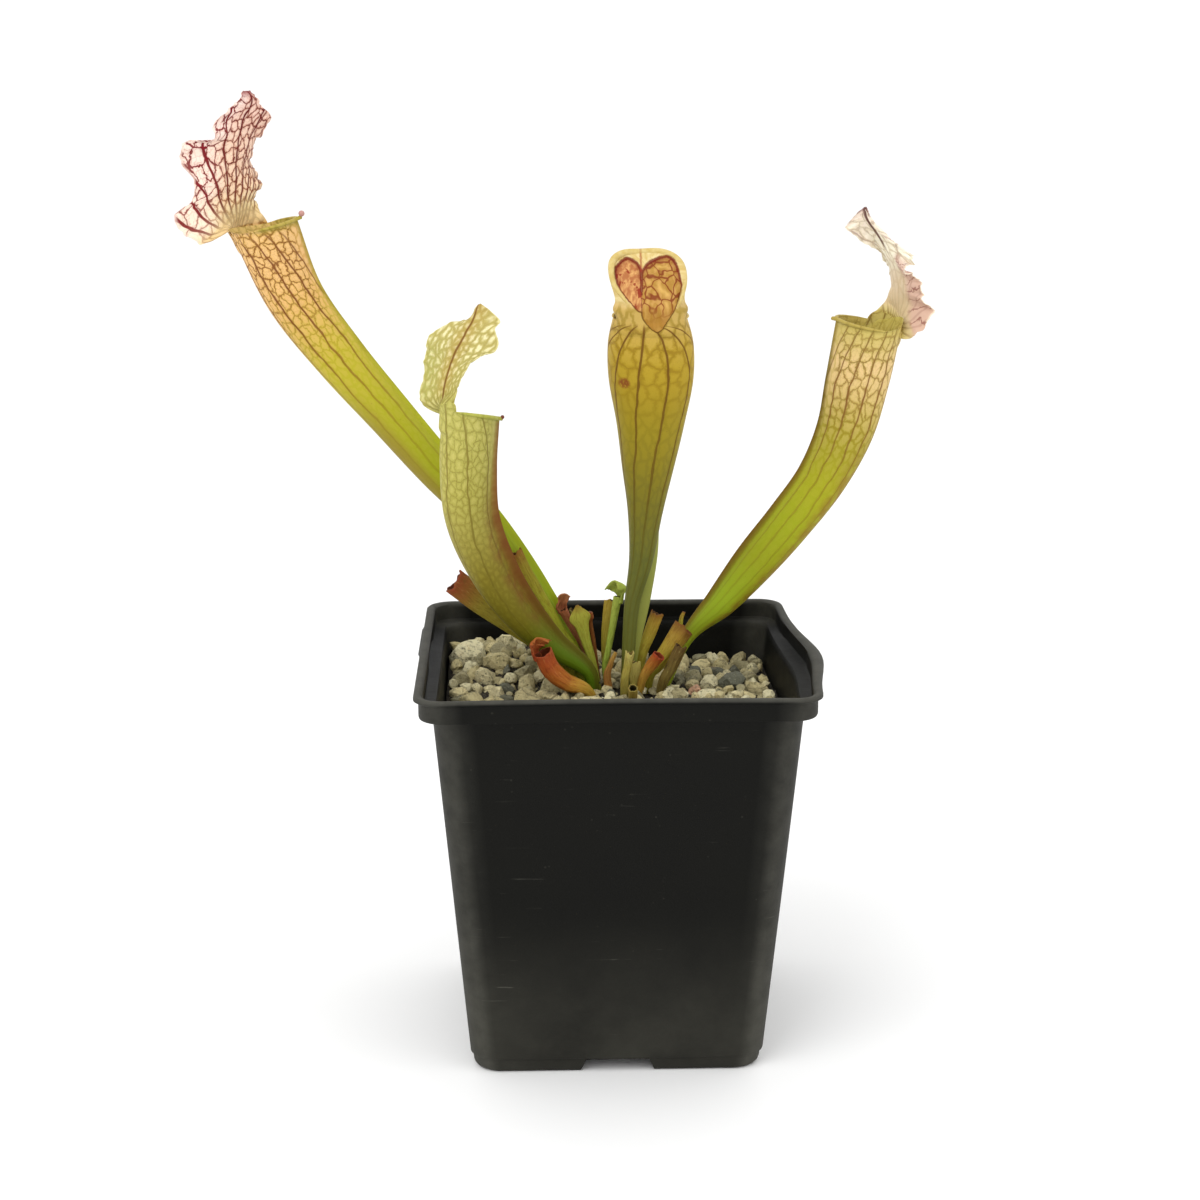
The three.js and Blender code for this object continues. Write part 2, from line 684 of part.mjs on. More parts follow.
    stations: [
      [-2.4, 11, 85, 0.6, 0.6, 0],
      [-4, 11.2, 96.5, 0.6, 0.6, 0],
      [-4.8, 11.3, 103, 0.6, 0.6, 0],
      [-5.6, 11.3, 108, 0.6, 0.6, 0],
      [-5.8, 11.2, 109.6, 1.1, 1, 0],
      [-5.6, 11, 111.2, 0.6, 0.6, 0],
    ],
  },
  {
    ...SMALL,
    name: 'stub_tan_left',
    finish: DRIED_LEAF,
    baseFace: [0.2, -1, 0],
    face: [0.2, -1, 0],
    stations: [
      [-0.3, 14.4, 85, 0.9, 0.8, 0],
      [-1.2, 14.6, 95, 1.1, 0.9, 0],
      [-1.2, 14.8, 101, 1.2, 1, 0],
      [-0.8, 15, 107, 1.3, 1, 0],
      [0, 15.2, 113.3, 1.3, 1, 0],
    ],
  },
  {
    ...SMALL,
    name: 'young_pitcher_green',
    finish: PALE_LEAF,
    baseFace: [-0.8, 0.3, 0],
    face: [-0.8, 0.3, 0],
    stations: [
      [-0.2, 11, 85, 0.7, 0.6, 0],
      [-1.8, 10.8, 95, 0.8, 0.7, 0],
      [-0.8, 11.3, 100.5, 0.9, 0.8, 0],
      [0.5, 12, 107.5, 1, 0.9, 0.1],
      [1.8, 12.5, 115, 1.2, 1.1, 0.1],
    ],
    hood: {
      near: [[2.2, 11.4, 114], [2.4, 11.3, 116], [0.8, 11.4, 118]],
      middle: [[2.8, 12.4, 114], [3.2, 12.4, 116.5], [1.4, 12.4, 119.5]],
      far: [[1.6, 13.4, 114], [0.2, 13.6, 116.5], [-0.9, 13.2, 117.8]],
      wave: 0,
      steps: 4,
      across: 4,
    },
  },
  {
    ...SMALL,
    name: 'stub_tan_right',
    finish: DRIED_LEAF,
    baseFace: [0.2, -1, 0.2],
    face: [0.2, -1, 0.2],
    stations: [
      [7.2, 12.2, 85, 0.9, 0.8, 0],
      [7.8, 12.3, 95, 1.2, 0.9, 0],
      [8.8, 12.6, 100, 1.4, 1.1, 0],
      [10.7, 13, 105, 1.7, 1.2, 0],
      [12.6, 13.5, 110, 1.8, 1.3, 0],
    ],
  },
  {
    ...SMALL,
    name: 'stub_spiked',
    finish: PALE_LEAF,
    baseFace: [0.5, -0.8, 0.3],
    face: [0.5, -0.8, 0.3],
    dish: 1.5,
    stations: [
      [9.6, 8.6, 85, 1.1, 0.9, 0],
      [10, 6.5, 94, 1.4, 1.2, 0.1],
      [12.5, 7.5, 97.5, 2, 1.5, 0.2],
      [15.7, 9, 101.5, 2.6, 1.9, 0.3],
      [19.5, 11, 106.5, 3.1, 2.1, 0.3],
    ],
    spike: [[18.6, 12.4, 104.5], [19, 12.8, 108.5], [19.8, 13, 110.5]],
  },
  {
    ...SMALL,
    name: 'cut_tube_red',
    finish: RED_LEAF,
    baseFace: [0, -1, 0.3],
    face: [0, -1, 0.3],
    dish: 1.6,
    stations: [
      [6.6, 5.6, 85, 0.8, 0.8, 0],
      [8, 3, 94, 1.1, 1.1, 0],
      [10, 2.5, 98, 1.3, 1.3, 0],
      [12.8, 1.8, 102, 1.4, 1.4, 0],
    ],
  },
  {
    ...SMALL,
    name: 'stub_dark',
    finish: DRIED_LEAF,
    baseFace: [0.4, -0.9, 0.2],
    face: [0.4, -0.9, 0.2],
    stations: [
      [12.4, 7.4, 85, 1, 0.9, 0],
      [13.7, 3.5, 93.5, 1.4, 1.1, 0],
      [16, 3.8, 98, 1.6, 1.2, 0],
      [18.5, 4.8, 103, 1.7, 1.2, 0],
    ],
  },
  {
    ...SMALL,
    name: 'cut_tube_membrane',
    finish: DRIED_LEAF,
    baseFace: [0, -1, 0],
    face: [0, -1, 0],
    dish: 1.2,
    stations: [
      [3.4, 4, 85, 0.9, 0.9, 0],
      [3.2, 1.5, 94, 1.1, 1.1, 0],
      [4, 1.4, 98.5, 1.1, 1.1, 0],
      [4.6, 1.3, 102.5, 1.2, 1.2, 0],
    ],
  },
  {
    ...SMALL,
    name: 'dried_strips',
    finish: DRIED_LEAF,
    baseFace: [0, -1, 0],
    face: [0, -1, 0],
    dish: 0,
    stations: [
      [0.4, 6.8, 85, 1, 0.5, 0],
      [-1.2, 6, 94, 1, 0.4, 0],
      [-0.4, 5.5, 98, 0.7, 0.4, 0],
      [1, 5.2, 101.5, 0.4, 0.35, 0],
    ],
  },
  {
    ...SMALL,
    name: 'papery_scrap',
    finish: PALE_LEAF,
    baseFace: [0.3, -1, 0],
    face: [0.3, -1, 0],
    dish: 0,
    stations: [
      [6, 4.4, 90.5, 0.9, 0.4, 0],
      [6.1, 4.2, 95, 1.5, 0.4, 0],
      [6.4, 4, 99, 1.4, 0.4, 0],
    ],
  },
  {
    ...SMALL,
    name: 'hollow_stub_loose',
    finish: DRIED_LEAF,
    baseFace: [1, 0, 0],
    face: [1, 0, 0],
    dish: 2.4,
    stations: [
      [5, -5, 90.5, 1.1, 1.1, 0],
      [5, -7, 93, 1.2, 1.2, 0],
      [5, -9, 95.6, 1.25, 1.25, 0],
    ],
  },
];

// A slim round piece along a leaf, such as a dry spike or the rolled margin of a hood.
function slim(points, steps, radii) {
  return plainLeaf({
    sides: 6,
    steps,
    dish: 0,
    baseFace: [0, -1, 0],
    face: [0, -1, 0],
    stations: points.map((point, i) => [...point, radii(i), radii(i), 0]),
  });
}

function makeLeaf(leaf) {
  let solid = leaf.trapFloor ? openLeaf(leaf) : plainLeaf(leaf);
  if (leaf.hood) {
    solid = solid.add(hood(leaf.hood));
  }
  if (leaf.margin) {
    solid = solid.add(slim(leaf.margin, MARGIN_STEPS, () => MARGIN_RADIUS));
  }
  if (leaf.spike) {
    solid = solid.add(slim(leaf.spike, 3, (i) => 0.7 - 0.15 * i));
  }
  return solid;
}

// Rhizome: a short knotted stem with a few roots that run down into the soil.
const RHIZOME_STATIONS = [
  [-12.5, 12.5, 83, 3, 2.6, 0],
  [-9, 11.5, 83.5, 5.5, 4, 0],
  [-3, 9, 84, 8, 4.8, 0],
  [4, 8.5, 84.2, 8, 5, 0],
  [10, 9.5, 84, 7, 4.6, 0],
  [15, 12, 83.5, 4.6, 3.6, 0],
  [18, 13.5, 83, 2.4, 2, 0],
];
const ROOTS = [
  [[-9, 12, 82], [-14, 17, 70], [-17, 20, 54], [-14, 22, 38]],
  [[-3, 5, 82], [-8, -3, 68], [-10, -8, 50], [-7, -13, 30]],
  [[4, 9, 81], [4, 8, 64], [7, 4, 46], [3, 2, 22]],
  [[10, 6, 82], [16, -1, 68], [19, -6, 52], [17, -10, 36]],
  [[14, 12, 82], [20, 17, 70], [24, 20, 56], [23, 22, 42]],
];

function makeRhizome(grown) {
  const stem = {
    sides: 10,
    steps: 9,
    baseFace: [0, 0, 1],
    face: [0, 0, 1],
    stations: RHIZOME_STATIONS,
  };
  let solid = grown ? leafRoom(stem, grown) : plainLeaf({ ...stem, dish: 0 });
  for (const points of ROOTS) {
    const root = {
      sides: 5,
      steps: 5,
      dish: 0,
      baseFace: [0, -1, 0],
      face: [0, -1, 0],
      stations: points.map((point, i) => [...point, 1.3 - 0.2 * i, 1.3 - 0.2 * i, 0]),
    };
    solid = solid.add(grown ? leafRoom(root, grown) : plainLeaf(root));
  }
  return solid;
}

// Gravel: how high it lies at a place, mounded at the back left and lower at the right.
function gravelLevel(x, y) {
  const mound = GRAVEL_MOUND * Math.exp(-(((x + 28) / 18) ** 2) - (((y - 26) / 16) ** 2));
  return GRAVEL_LEVEL + mound - 0.02 * x - 0.01 * y;
}

// The corners of a stone's cell, in half pitches and half sides of the honeycomb.
const HEXAGON = [[0, 2], [-1, 1], [-1, -1], [0, -2], [1, -1], [1, 1]];

// A bed of packed angular stones. Each stone is one cell of a honeycomb with shifted corners: a
// block with its own height and tilt, and sloping sides down to the grooves round it.
function makeGravel() {
  const across = STONE_PITCH / 2;
  const up = STONE_PITCH / (2 * Math.sqrt(3));
  const spread = (amount) => amount * (2 * random() - 1);
  const points = [];
  const indices = [];
  const corners = new Map();
  const openEdges = new Map();
  const cornerAt = (a, b) => {
    const key = `${a},${b}`;
    if (!corners.has(key)) {
      const x = a * across + spread(0.12 * STONE_PITCH);
      const y = b * up + spread(0.12 * STONE_PITCH);
      const z = gravelLevel(x, y) - GROOVE_DEPTH + spread(0.4);
      corners.set(key, points.push(new THREE.Vector3(x, y, z)) - 1);
    }
    return corners.get(key);
  };
  const rows = Math.ceil((BODY_TOP_HALF + STONE_PITCH) / (3 * up));
  const columns = Math.ceil((BODY_TOP_HALF + STONE_PITCH) / STONE_PITCH);
  for (let row = -rows; row <= rows; row += 1) {
    for (let column = -columns; column <= columns; column += 1) {
      const a = 2 * column + Math.abs(row % 2);
      const b = 3 * row;
      const ring = HEXAGON.map(([stepA, stepB]) => cornerAt(a + stepA, b + stepB));
      const lift = spread(STONE_LIFT);
      const tilt = new THREE.Vector2(spread(STONE_TILT), spread(STONE_TILT));
      const topAt = (x, y) => new THREE.Vector3(x, y, gravelLevel(x, y) + lift
        + tilt.x * (x - a * across) + tilt.y * (y - b * up));
      const top = ring.map((index) => {
        const share = 0.62 + spread(0.1);
        const { x, y } = points[index];
        const inner = topAt(a * across + (x - a * across) * share, b * up + (y - b * up) * share);
        return points.push(inner) - 1;
      });
      const crown = points.push(topAt(a * across, b * up).add(new THREE.Vector3(0, 0, 0.5))) - 1;
      ring.forEach((corner, k) => {
        const next = (k + 1) % ring.length;
        indices.push(corner, ring[next], top[next], corner, top[next], top[k]);
        indices.push(top[k], top[next], crown);
        if (!openEdges.delete(`${ring[next]},${corner}`)) {
          openEdges.set(`${corner},${ring[next]}`, [corner, ring[next]]);
        }
      });
    }
  }
  const floor = SOIL_TOP - STONE_PITCH;
  const middle = points.push(new THREE.Vector3(0, 0, floor)) - 1;
  const feet = new Map([...openEdges.values()].map(([corner]) => {
    const { x, y } = points[corner];
    return [corner, points.push(new THREE.Vector3(x, y, floor)) - 1];
  }));
  for (const [from, to] of openEdges.values()) {
    indices.push(to, from, feet.get(from), to, feet.get(from), feet.get(to));
    indices.push(feet.get(to), feet.get(from), middle);
  }
  const geometry = new THREE.BufferGeometry().setFromPoints(points);
  geometry.setIndex(indices);
  return solidOf(geometry).intersect(potFilling(SOIL_TOP + CLEAR, POT_HEIGHT - BAND_HEIGHT));
}

// The pieces are set in order: each small leaf gives way to those made before it.
const rooms = [];
let gravel = makeGravel();
let soil = potFilling(FLOOR + CLEAR, SOIL_TOP).subtract(channelCross(FLOOR + CLEAR, 2 * LIP_HALF));
let rhizome = makeRhizome(0);
const rhizomeRoom = makeRhizome(CLEAR);
gravel = gravel.subtract(rhizomeRoom);
soil = soil.subtract(rhizomeRoom);

for (const leaf of LEAVES) {
  let solid = makeLeaf(leaf);
  for (const room of rooms) {
    solid = solid.subtract(room);
  }
  const room = leafRoom(leaf);
  rooms.push(room);
  gravel = gravel.subtract(room);
  soil = soil.subtract(room);
  rhizome = rhizome.subtract(room);
  addPiece(leaf.name, solid, leaf.finish);
}

addPiece('pot', makePot(), BLACK_PLASTIC);
addPiece('soil', soil, SOIL);
addPiece('gravel', gravel, STONE);
addPiece('rhizome', rhizome, RHIZOME);

export default object;
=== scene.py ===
# A potted velvet pitcher plant: four tall pitchers, small young and withered leaves at the crown,
# gravel over potting soil, and a black square nursery pot. Sizes and places are in millimetres,
# and become metres where a mesh is made.
import math

import bmesh
import bpy
import numpy as np
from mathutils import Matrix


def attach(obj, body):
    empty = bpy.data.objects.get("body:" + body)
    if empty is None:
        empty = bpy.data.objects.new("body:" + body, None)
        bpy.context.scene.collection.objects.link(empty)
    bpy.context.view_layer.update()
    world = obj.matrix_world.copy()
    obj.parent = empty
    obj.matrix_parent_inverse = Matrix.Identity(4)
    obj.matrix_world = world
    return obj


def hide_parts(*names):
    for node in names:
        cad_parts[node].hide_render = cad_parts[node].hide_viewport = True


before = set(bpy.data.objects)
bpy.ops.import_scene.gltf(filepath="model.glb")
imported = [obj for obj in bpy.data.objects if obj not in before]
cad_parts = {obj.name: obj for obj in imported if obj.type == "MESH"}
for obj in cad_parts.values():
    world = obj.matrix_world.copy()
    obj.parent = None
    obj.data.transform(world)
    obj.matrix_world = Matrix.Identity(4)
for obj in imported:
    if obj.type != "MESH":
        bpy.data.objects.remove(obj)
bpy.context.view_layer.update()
MM = 0.001

# Camera
# The photographer stood a little to the left of the pot's middle and looked slightly down on it
# through a short telephoto lens.
CAMERA_AIM = np.array([-3.4, 0.0, 117.3])
CAMERA_DISTANCE = 607.5
CAMERA_AZIMUTH = math.radians(-1.9)
CAMERA_ELEVATION = math.radians(14.2)
SENSOR_WIDTH = 36.0
LENS = 69.0

towards_camera = np.array([
    math.sin(CAMERA_AZIMUTH) * math.cos(CAMERA_ELEVATION),
    -math.cos(CAMERA_AZIMUTH) * math.cos(CAMERA_ELEVATION),
    math.sin(CAMERA_ELEVATION),
])
camera = bpy.data.objects.new("camera", bpy.data.cameras.new("camera"))
camera.data.lens = LENS
camera.data.sensor_width = SENSOR_WIDTH
camera.data.clip_start = 0.01
camera.data.clip_end = 100.0
camera.location = (CAMERA_AIM + CAMERA_DISTANCE * towards_camera) * MM
camera.rotation_euler = (math.pi / 2 - CAMERA_ELEVATION, 0.0, CAMERA_AZIMUTH)
bpy.context.scene.collection.objects.link(camera)
bpy.context.scene.camera = camera

# Studio
# A white table and a bright white room, with one large soft light from above and to the left
# and a weaker one from the right.
ROOM_BRIGHTNESS = 1.12
FLOOR_HALF = 12.0

bpy.context.scene.view_settings.view_transform = "Standard"
room = bpy.data.worlds.new("room")
bpy.context.scene.world = room
room.use_nodes = True
room.node_tree.nodes["Background"].inputs["Color"].default_value = (1.0, 1.0, 1.0, 1.0)
room.node_tree.nodes["Background"].inputs["Strength"].default_value = ROOM_BRIGHTNESS


def soft_light(name, place, size, watts):
    """A square area light, in metres, turned from its place towards the plant."""
    lamp = bpy.data.lights.new(name, "AREA")
    lamp.size = size
    lamp.energy = watts
    holder = bpy.data.objects.new(name, lamp)
    away = np.array(place) - np.array([0.0, 0.0, 0.12])
    holder.location = place
    holder.rotation_euler = (math.acos(away[2] / np.linalg.norm(away)), 0.0,
                             math.atan2(away[0], -away[1]))
    bpy.context.scene.collection.objects.link(holder)


soft_light("key_light", (-0.6, -0.8, 1.2), 0.9, 7.0)
soft_light("fill_light", (0.9, -0.5, 0.8), 0.8, 1.5)


class Shade:
    """A number or colour in a finish's nodes. Arithmetic on it adds Math nodes."""

    def __init__(self, finish, socket):
        self.finish = finish
        self.socket = socket

    def maths(self, operation, a, b=0.0):
        """What a Math node makes of two numbers."""
        return self.finish.node("Math", {"operation": operation}, {0: a, 1: b})

    def __add__(self, other):
        return self.maths("ADD", self, other)

    __radd__ = __add__

    def __sub__(self, other):
        return self.maths("SUBTRACT", self, other)

    def __rsub__(self, other):
        return self.maths("SUBTRACT", other, self)

    def __mul__(self, other):
        return self.maths("MULTIPLY", self, other)

    __rmul__ = __mul__

    def __truediv__(self, other):
        return self.maths("DIVIDE", self, other)

    def __abs__(self):
        return self.maths("ABSOLUTE", self)

    def wrapped(self):
        """What is left above the whole number below it."""
        return self.maths("FRACT", self)

    def most(self, other):
        """The larger of two."""
        return self.maths("MAXIMUM", self, other)

    def step(self, low, high):
        """A smooth step from 0 at low to 1 at high, or back down where low is the larger."""
        if low > high:
            return 1.0 - self.step(high, low)
        sockets = {"Value": self, "From Min": low, "From Max": high}
        return self.finish.node("MapRange", {"interpolation_type": "SMOOTHSTEP"}, sockets)

    def band(self, start, full, waning, end):
        """A smooth step up from start to full, and down again from waning to end."""
        return self.step(start, full) * self.step(end, waning)


def ink(code):
    """A linear colour from a web colour such as #aabbcc."""
    parts = np.array([int(code[k:k + 2], 16) for k in (1, 3, 5)]) / 255.0
    linear = np.where(parts <= 0.04045, parts / 12.92, ((parts + 0.055) / 1.055) ** 2.4)
    return (*linear, 1.0)


class Finish:
    """A material while it is made. Whatever is the same all over is set on its shader at once."""

    def __init__(self, name, **everywhere):
        self.material = bpy.data.materials.new(name)
        self.material.use_nodes = True
        self.tree = self.material.node_tree
        self.shader = self.tree.nodes["Principled BSDF"]
        for socket, value in everywhere.items():
            self.shader.inputs[socket.replace("_", " ")].default_value = value

    def node(self, kind, settings=None, sockets=None, output=0):
        """A new node: its settings are made first, then its sockets get values or links."""
        made = self.tree.nodes.new("ShaderNode" + kind)
        for key, value in (settings or {}).items():
            if key == "stops":
                elements = made.color_ramp.elements
                for k, (place, colour) in enumerate(value):
                    stop = elements[k] if k < 2 else elements.new(place)
                    stop.position, stop.color = place, colour
            else:
                setattr(made, key, value)
        for key, value in (sockets or {}).items():
            self.join(value, made.inputs[key])
        return Shade(self, made.outputs[output])

    def join(self, value, socket):
        """Links a shade to a socket, or sets the socket to a plain value."""
        if isinstance(value, Shade):
            self.tree.links.new(value.socket, socket)
        else:
            socket.default_value = value

    def value(self, name):
        """A number that the piece's points carry."""
        return self.node("Attribute", {"attribute_name": name}, output="Fac")

    def place(self):
        """The point's place on the piece, in metres."""
        return self.node("TexCoord", output="Object")

    def parts(self, vector):
        """The X, Y and Z of a vector."""
        split = self.node("SeparateXYZ", sockets={0: vector}).socket.node
        return [Shade(self, out) for out in split.outputs]

    def noise(self, vector, scale, detail=3.0, roughness=0.55, output="Fac"):
        """Noise of so many cells to a unit, with finer octaves added by the detail."""
        sockets = {"Vector": vector, "Scale": scale, "Detail": detail, "Roughness": roughness}
        return self.node("TexNoise", sockets=sockets, output=output)

    def ramp(self, share, stops):
        """A colour from stops of (share, web colour)."""
        made = [(place, ink(code)) for place, code in stops]
        return self.node("ValToRGB", {"stops": made}, {0: share})

    def level(self, share, stops):
        """A number from stops of (share, number)."""
        made = [(place, (number, number, number, 1.0)) for place, number in stops]
        return self.node("ValToRGB", {"stops": made}, {0: share})

    def mix(self, a, b, share):
        """Colour a turning into b as the share goes from 0 to 1."""
        a, b = (ink(c) if isinstance(c, str) else c for c in (a, b))
        return self.node("Mix", {"data_type": "RGBA"}, {0: share, 6: a, 7: b}, output=2)

    def painted(self, colour, *coats):
        """A colour under coats of (colour, share), each over the one before."""
        for tone, share in coats:
            colour = self.mix(colour, tone, share)
        return colour

    def scaled(self, vector, factors):
        """A vector or a colour times a factor for each of its three parts."""
        return self.node("VectorMath", {"operation": "MULTIPLY"}, {0: vector, 1: factors})

    def shaken(self, vector, reach, *noise):
        """A vector moved by up to a reach, as a colour noise of (place, scale, detail) says."""
        drift = self.noise(*noise, output="Color")
        sockets = {0: drift, 1: reach, 2: vector}
        return self.node("VectorMath", {"operation": "MULTIPLY_ADD"}, sockets)

    def bump(self, height, distance, strength=1.0, under=None):
        """A normal bent by a height that is scaled to a distance in metres."""
        sockets = {"Height": height, "Distance": distance, "Strength": strength}
        if under is not None:
            sockets["Normal"] = under
        return self.node("Bump", sockets=sockets)

    def wear(self, **sockets):
        """Links what changes over the surface to the shader, and gives back the material."""
        for key, value in sockets.items():
            self.join(value, self.shader.inputs[key.replace("_", " ")])
        return self.material


def table_finish():
    """Smooth white laminate with the faintest unevenness in its gloss."""
    white = Finish("white_table", Base_Color=(0.93, 0.93, 0.925, 1.0))
    return white.wear(Roughness=0.55 + 0.1 * white.noise(white.place(), 30.0))


corner = FLOOR_HALF
table = bpy.data.meshes.new("table")
table.from_pydata([(-corner, -corner, 0), (corner, -corner, 0), (corner, corner, 0),
                   (-corner, corner, 0)], [], [(0, 1, 2, 3)])
table.materials.append(table_finish())
table_object = bpy.data.objects.new("table", table)
bpy.context.scene.collection.objects.link(table_object)


# Pot
# A deep square nursery pot, formed from thin black plastic: a tapered body with rounded corners,
# a stepped band under a narrow outward lip, and two drain channels that cross under its floor.
POT_HEIGHT = 104.5
LIP_HALF = 51.0
LIP_WIDTH = 1.6
WALL = 1.2
BAND_FOOT = 98.3
BAND_HALF = 49.8
BODY_TOP_HALF = 46.5
BODY_BASE_HALF = 38.4
BASE_STEP = 4.2
CORNER_RADIUS = 7.0
CHANNEL_HEIGHT = 3.1
CHANNEL_FOOT = 19.0
CHANNEL_TOP = 16.4
PAD_RADIUS = 7.0
FLOOR_TOP = 4.5
DRAIN_RADIUS = 4.0
DRAIN_OUT = 21.0
FOOT_INSET = 2.2
SIDE_BULGE = 4.6
BULGE_CENTRE = -9.0
BULGE_WIDTH = 24.0
FRONT_BOW = 1.5
POCKET_CENTRE = 10.0
POCKET_LENGTH = 26.0
POCKET_DEPTH = 0.5
RIB_X = 14.0
RIB_WIDTH = 0.9
FOOT_RINGS = 16
BODY_RINGS = 26


def smooth(low, high, x):
    """The S-curve that is 0 up to low and 1 from high on: 3t^2 - 2t^3 between them."""
    t = np.clip((np.asarray(x, float) - low) / (high - low), 0.0, 1.0)
    return t * t * (3.0 - 2.0 * t)


def flexed(points):
    """The soft pot's sag: its right side bulges and its front bows in, by (share of height)^1.5."""
    x, y, z = points[..., 0], points[..., 1], points[..., 2]
    share = np.clip(z / POT_HEIGHT, 0.0, 1.0) ** 1.5
    bulge = SIDE_BULGE * np.exp(-(((y - BULGE_CENTRE) / BULGE_WIDTH) ** 2)) - 1.0
    bow = FRONT_BOW * np.maximum(0.0, 1.0 - (x / LIP_HALF) ** 2)
    right = np.maximum(0.0, x / LIP_HALF) ** 6
    front = np.maximum(0.0, -y / LIP_HALF) ** 6
    return np.stack([x + share * right * bulge, y + share * front * bow, z], axis=-1)


def square_outline(half, radius):
    """Points round a rounded square, from the middle of the corner arcs along straight sides. The
    points at the edges of the drain channel's notch keep their places whatever the size."""
    flat = half - radius
    notch = [CHANNEL_FOOT / 2, (CHANNEL_FOOT + CHANNEL_TOP) / 4, CHANNEL_TOP / 2]
    left = np.concatenate([np.linspace(flat, notch[0], 9)[1:], notch[1:], [5.5, 2.7, 0.0]])
    run = np.concatenate([left, -left[-2::-1]])
    angle = np.linspace(0.0, math.pi / 2, 11)
    arc = np.stack([flat + radius * np.cos(angle), flat + radius * np.sin(angle)], axis=-1)
    quarter = np.concatenate([arc, np.stack([run, np.full(len(run), half)], axis=-1)])
    turns = [np.array([[c, s], [-s, c]]) for c, s in ((1, 0), (0, 1), (-1, 0), (0, -1))]
    return np.concatenate([quarter @ turn for turn in turns])


def channel_depth(x, y):
    """Height of the crossing drain channels over the surface: flat with sloping sides, and none
    at the round standing pad in the middle."""
    slope = (CHANNEL_FOOT - CHANNEL_TOP) / 2
    bars = [np.clip((CHANNEL_FOOT / 2 - np.abs(v)) / slope, 0.0, 1.0) for v in (x, y)]
    return CHANNEL_HEIGHT * np.maximum(*bars) * smooth(PAD_RADIUS, PAD_RADIUS + 0.8, np.hypot(x, y))


def closed_grid(points, maps=None, **values):
    """A grid that closes round across, as places, quads with their faces outwards, the map pair
    of each quad's corner, and named values. A map has one column more than the points."""
    rows, columns = points.shape[:2]
    row, column = (v.ravel() for v in np.indices((rows - 1, columns)))

    def corners(width, after):
        """The four corners of every quad, where a row has this width."""
        near, far = row * width, (row + 1) * width
        return np.stack([near + column, near + after, far + after, far + column], axis=-1)

    quads = corners(columns, (column + 1) % columns)
    marks = corners(columns + 1, column + 1)
    centred = points.reshape(-1, 3) - points.reshape(-1, 3).mean(0)
    a, b, c, d = (centred[quads[:, k]] for k in range(4))
    if (np.cross(a, b) * c).sum() + (np.cross(a, c) * d).sum() < 0:
        quads, marks = quads[:, ::-1], marks[:, ::-1]
    return {
        "place": points.reshape(-1, 3),
        "faces": quads,
        "maps": {k: v.reshape(-1, 2)[marks] for k, v in (maps or {}).items()},
        "values": {k: np.broadcast_to(v, (rows, columns)).ravel() for k, v in values.items()},
    }


def capped(points):
    """A stack of rings with a pole added at the middle of the first and of the last."""
    poles = [np.broadcast_to(points[k].mean(0), points[k].shape) for k in (0, -1)]
    return np.concatenate([poles[0][None], points, poles[1][None]])


def new_piece(name, grids, material, replaced=(), crease=None):
    """One mesh object from grids, which rides on the CAD body and stands for CAD nodes. Points
    that coincide, as in a pole, are merged, and edges sharper than the crease stay sharp."""
    starts = np.cumsum([0] + [len(grid["place"]) for grid in grids[:-1]])
    place = np.concatenate([grid["place"] for grid in grids]) * MM
    faces = np.concatenate([grid["faces"] + start for grid, start in zip(grids, starts)])
    count, size = faces.shape
    mesh = bpy.data.meshes.new(name)
    mesh.vertices.add(len(place))
    mesh.loops.add(count * size)
    mesh.polygons.add(count)
    mesh.vertices.foreach_set("co", place.ravel())
    mesh.loops.foreach_set("vertex_index", faces.ravel())
    mesh.polygons.foreach_set("loop_start", np.arange(0, count * size, size))
    for key in grids[0]["maps"]:
        pairs = np.concatenate([grid["maps"][key].reshape(-1, 2) for grid in grids])
        mesh.uv_layers.new(name=key).data.foreach_set("uv", pairs.ravel())
    for key in grids[0]["values"]:
        numbers = np.concatenate([grid["values"][key] for grid in grids])
        mesh.attributes.new(key, "FLOAT", "POINT").data.foreach_set("value", numbers)
    mesh.update(calc_edges=True)
    merged = bmesh.new()
    merged.from_mesh(mesh)
    bmesh.ops.remove_doubles(merged, verts=merged.verts, dist=1e-6)
    bmesh.ops.dissolve_degenerate(merged, edges=merged.edges, dist=1e-7)
    merged.to_mesh(mesh)
    merged.free()
    mesh.shade_smooth()
    if crease is not None:
        mesh.set_sharp_from_angle(angle=math.radians(crease))
    mesh.materials.append(material)
    piece = bpy.data.objects.new(name, mesh)
    bpy.context.scene.collection.objects.link(piece)
    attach(piece, "root")
    if replaced:
        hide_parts(*replaced)
    return piece


def pot_ring(half, z, radius=CORNER_RADIUS):
    """One ring of the pot. Near the foot it lifts over the mouths of the drain channels."""
    outline = square_outline(half, radius)
    lift = channel_depth(outline[:, 0], outline[:, 1]) * max(0.0, 1.0 - z / BASE_STEP)
    return flexed(np.column_stack([outline, z + lift]))


def underside_rings():
    """Rings from the foot in to the middle of the underside. The four corner feet shrink towards
    the channels' crossing, which then narrows to the round standing pad."""
    outer = square_outline(BODY_BASE_HALF - FOOT_INSET, CORNER_RADIUS)
    core = CHANNEL_FOOT / 2
    rings = []
    for share in np.linspace(1.0, 0.0, FOOT_RINGS)[1:]:
        shrunk = np.sign(outer) * (core + (np.abs(outer) - core) * share)
        rings.append(np.where(np.abs(outer) > core, shrunk, outer))
    rings.append(np.clip(outer, -CHANNEL_TOP / 2, CHANNEL_TOP / 2))
    angle = np.arctan2(outer[:, 1], outer[:, 0])
    circle = np.column_stack([np.cos(angle), np.sin(angle)])
    rings += [circle * (PAD_RADIUS + extra) for extra in (0.8, 0.4, 0.0, -3.5)]
    return np.array([np.column_stack([ring, channel_depth(*ring.T)]) for ring in rings])


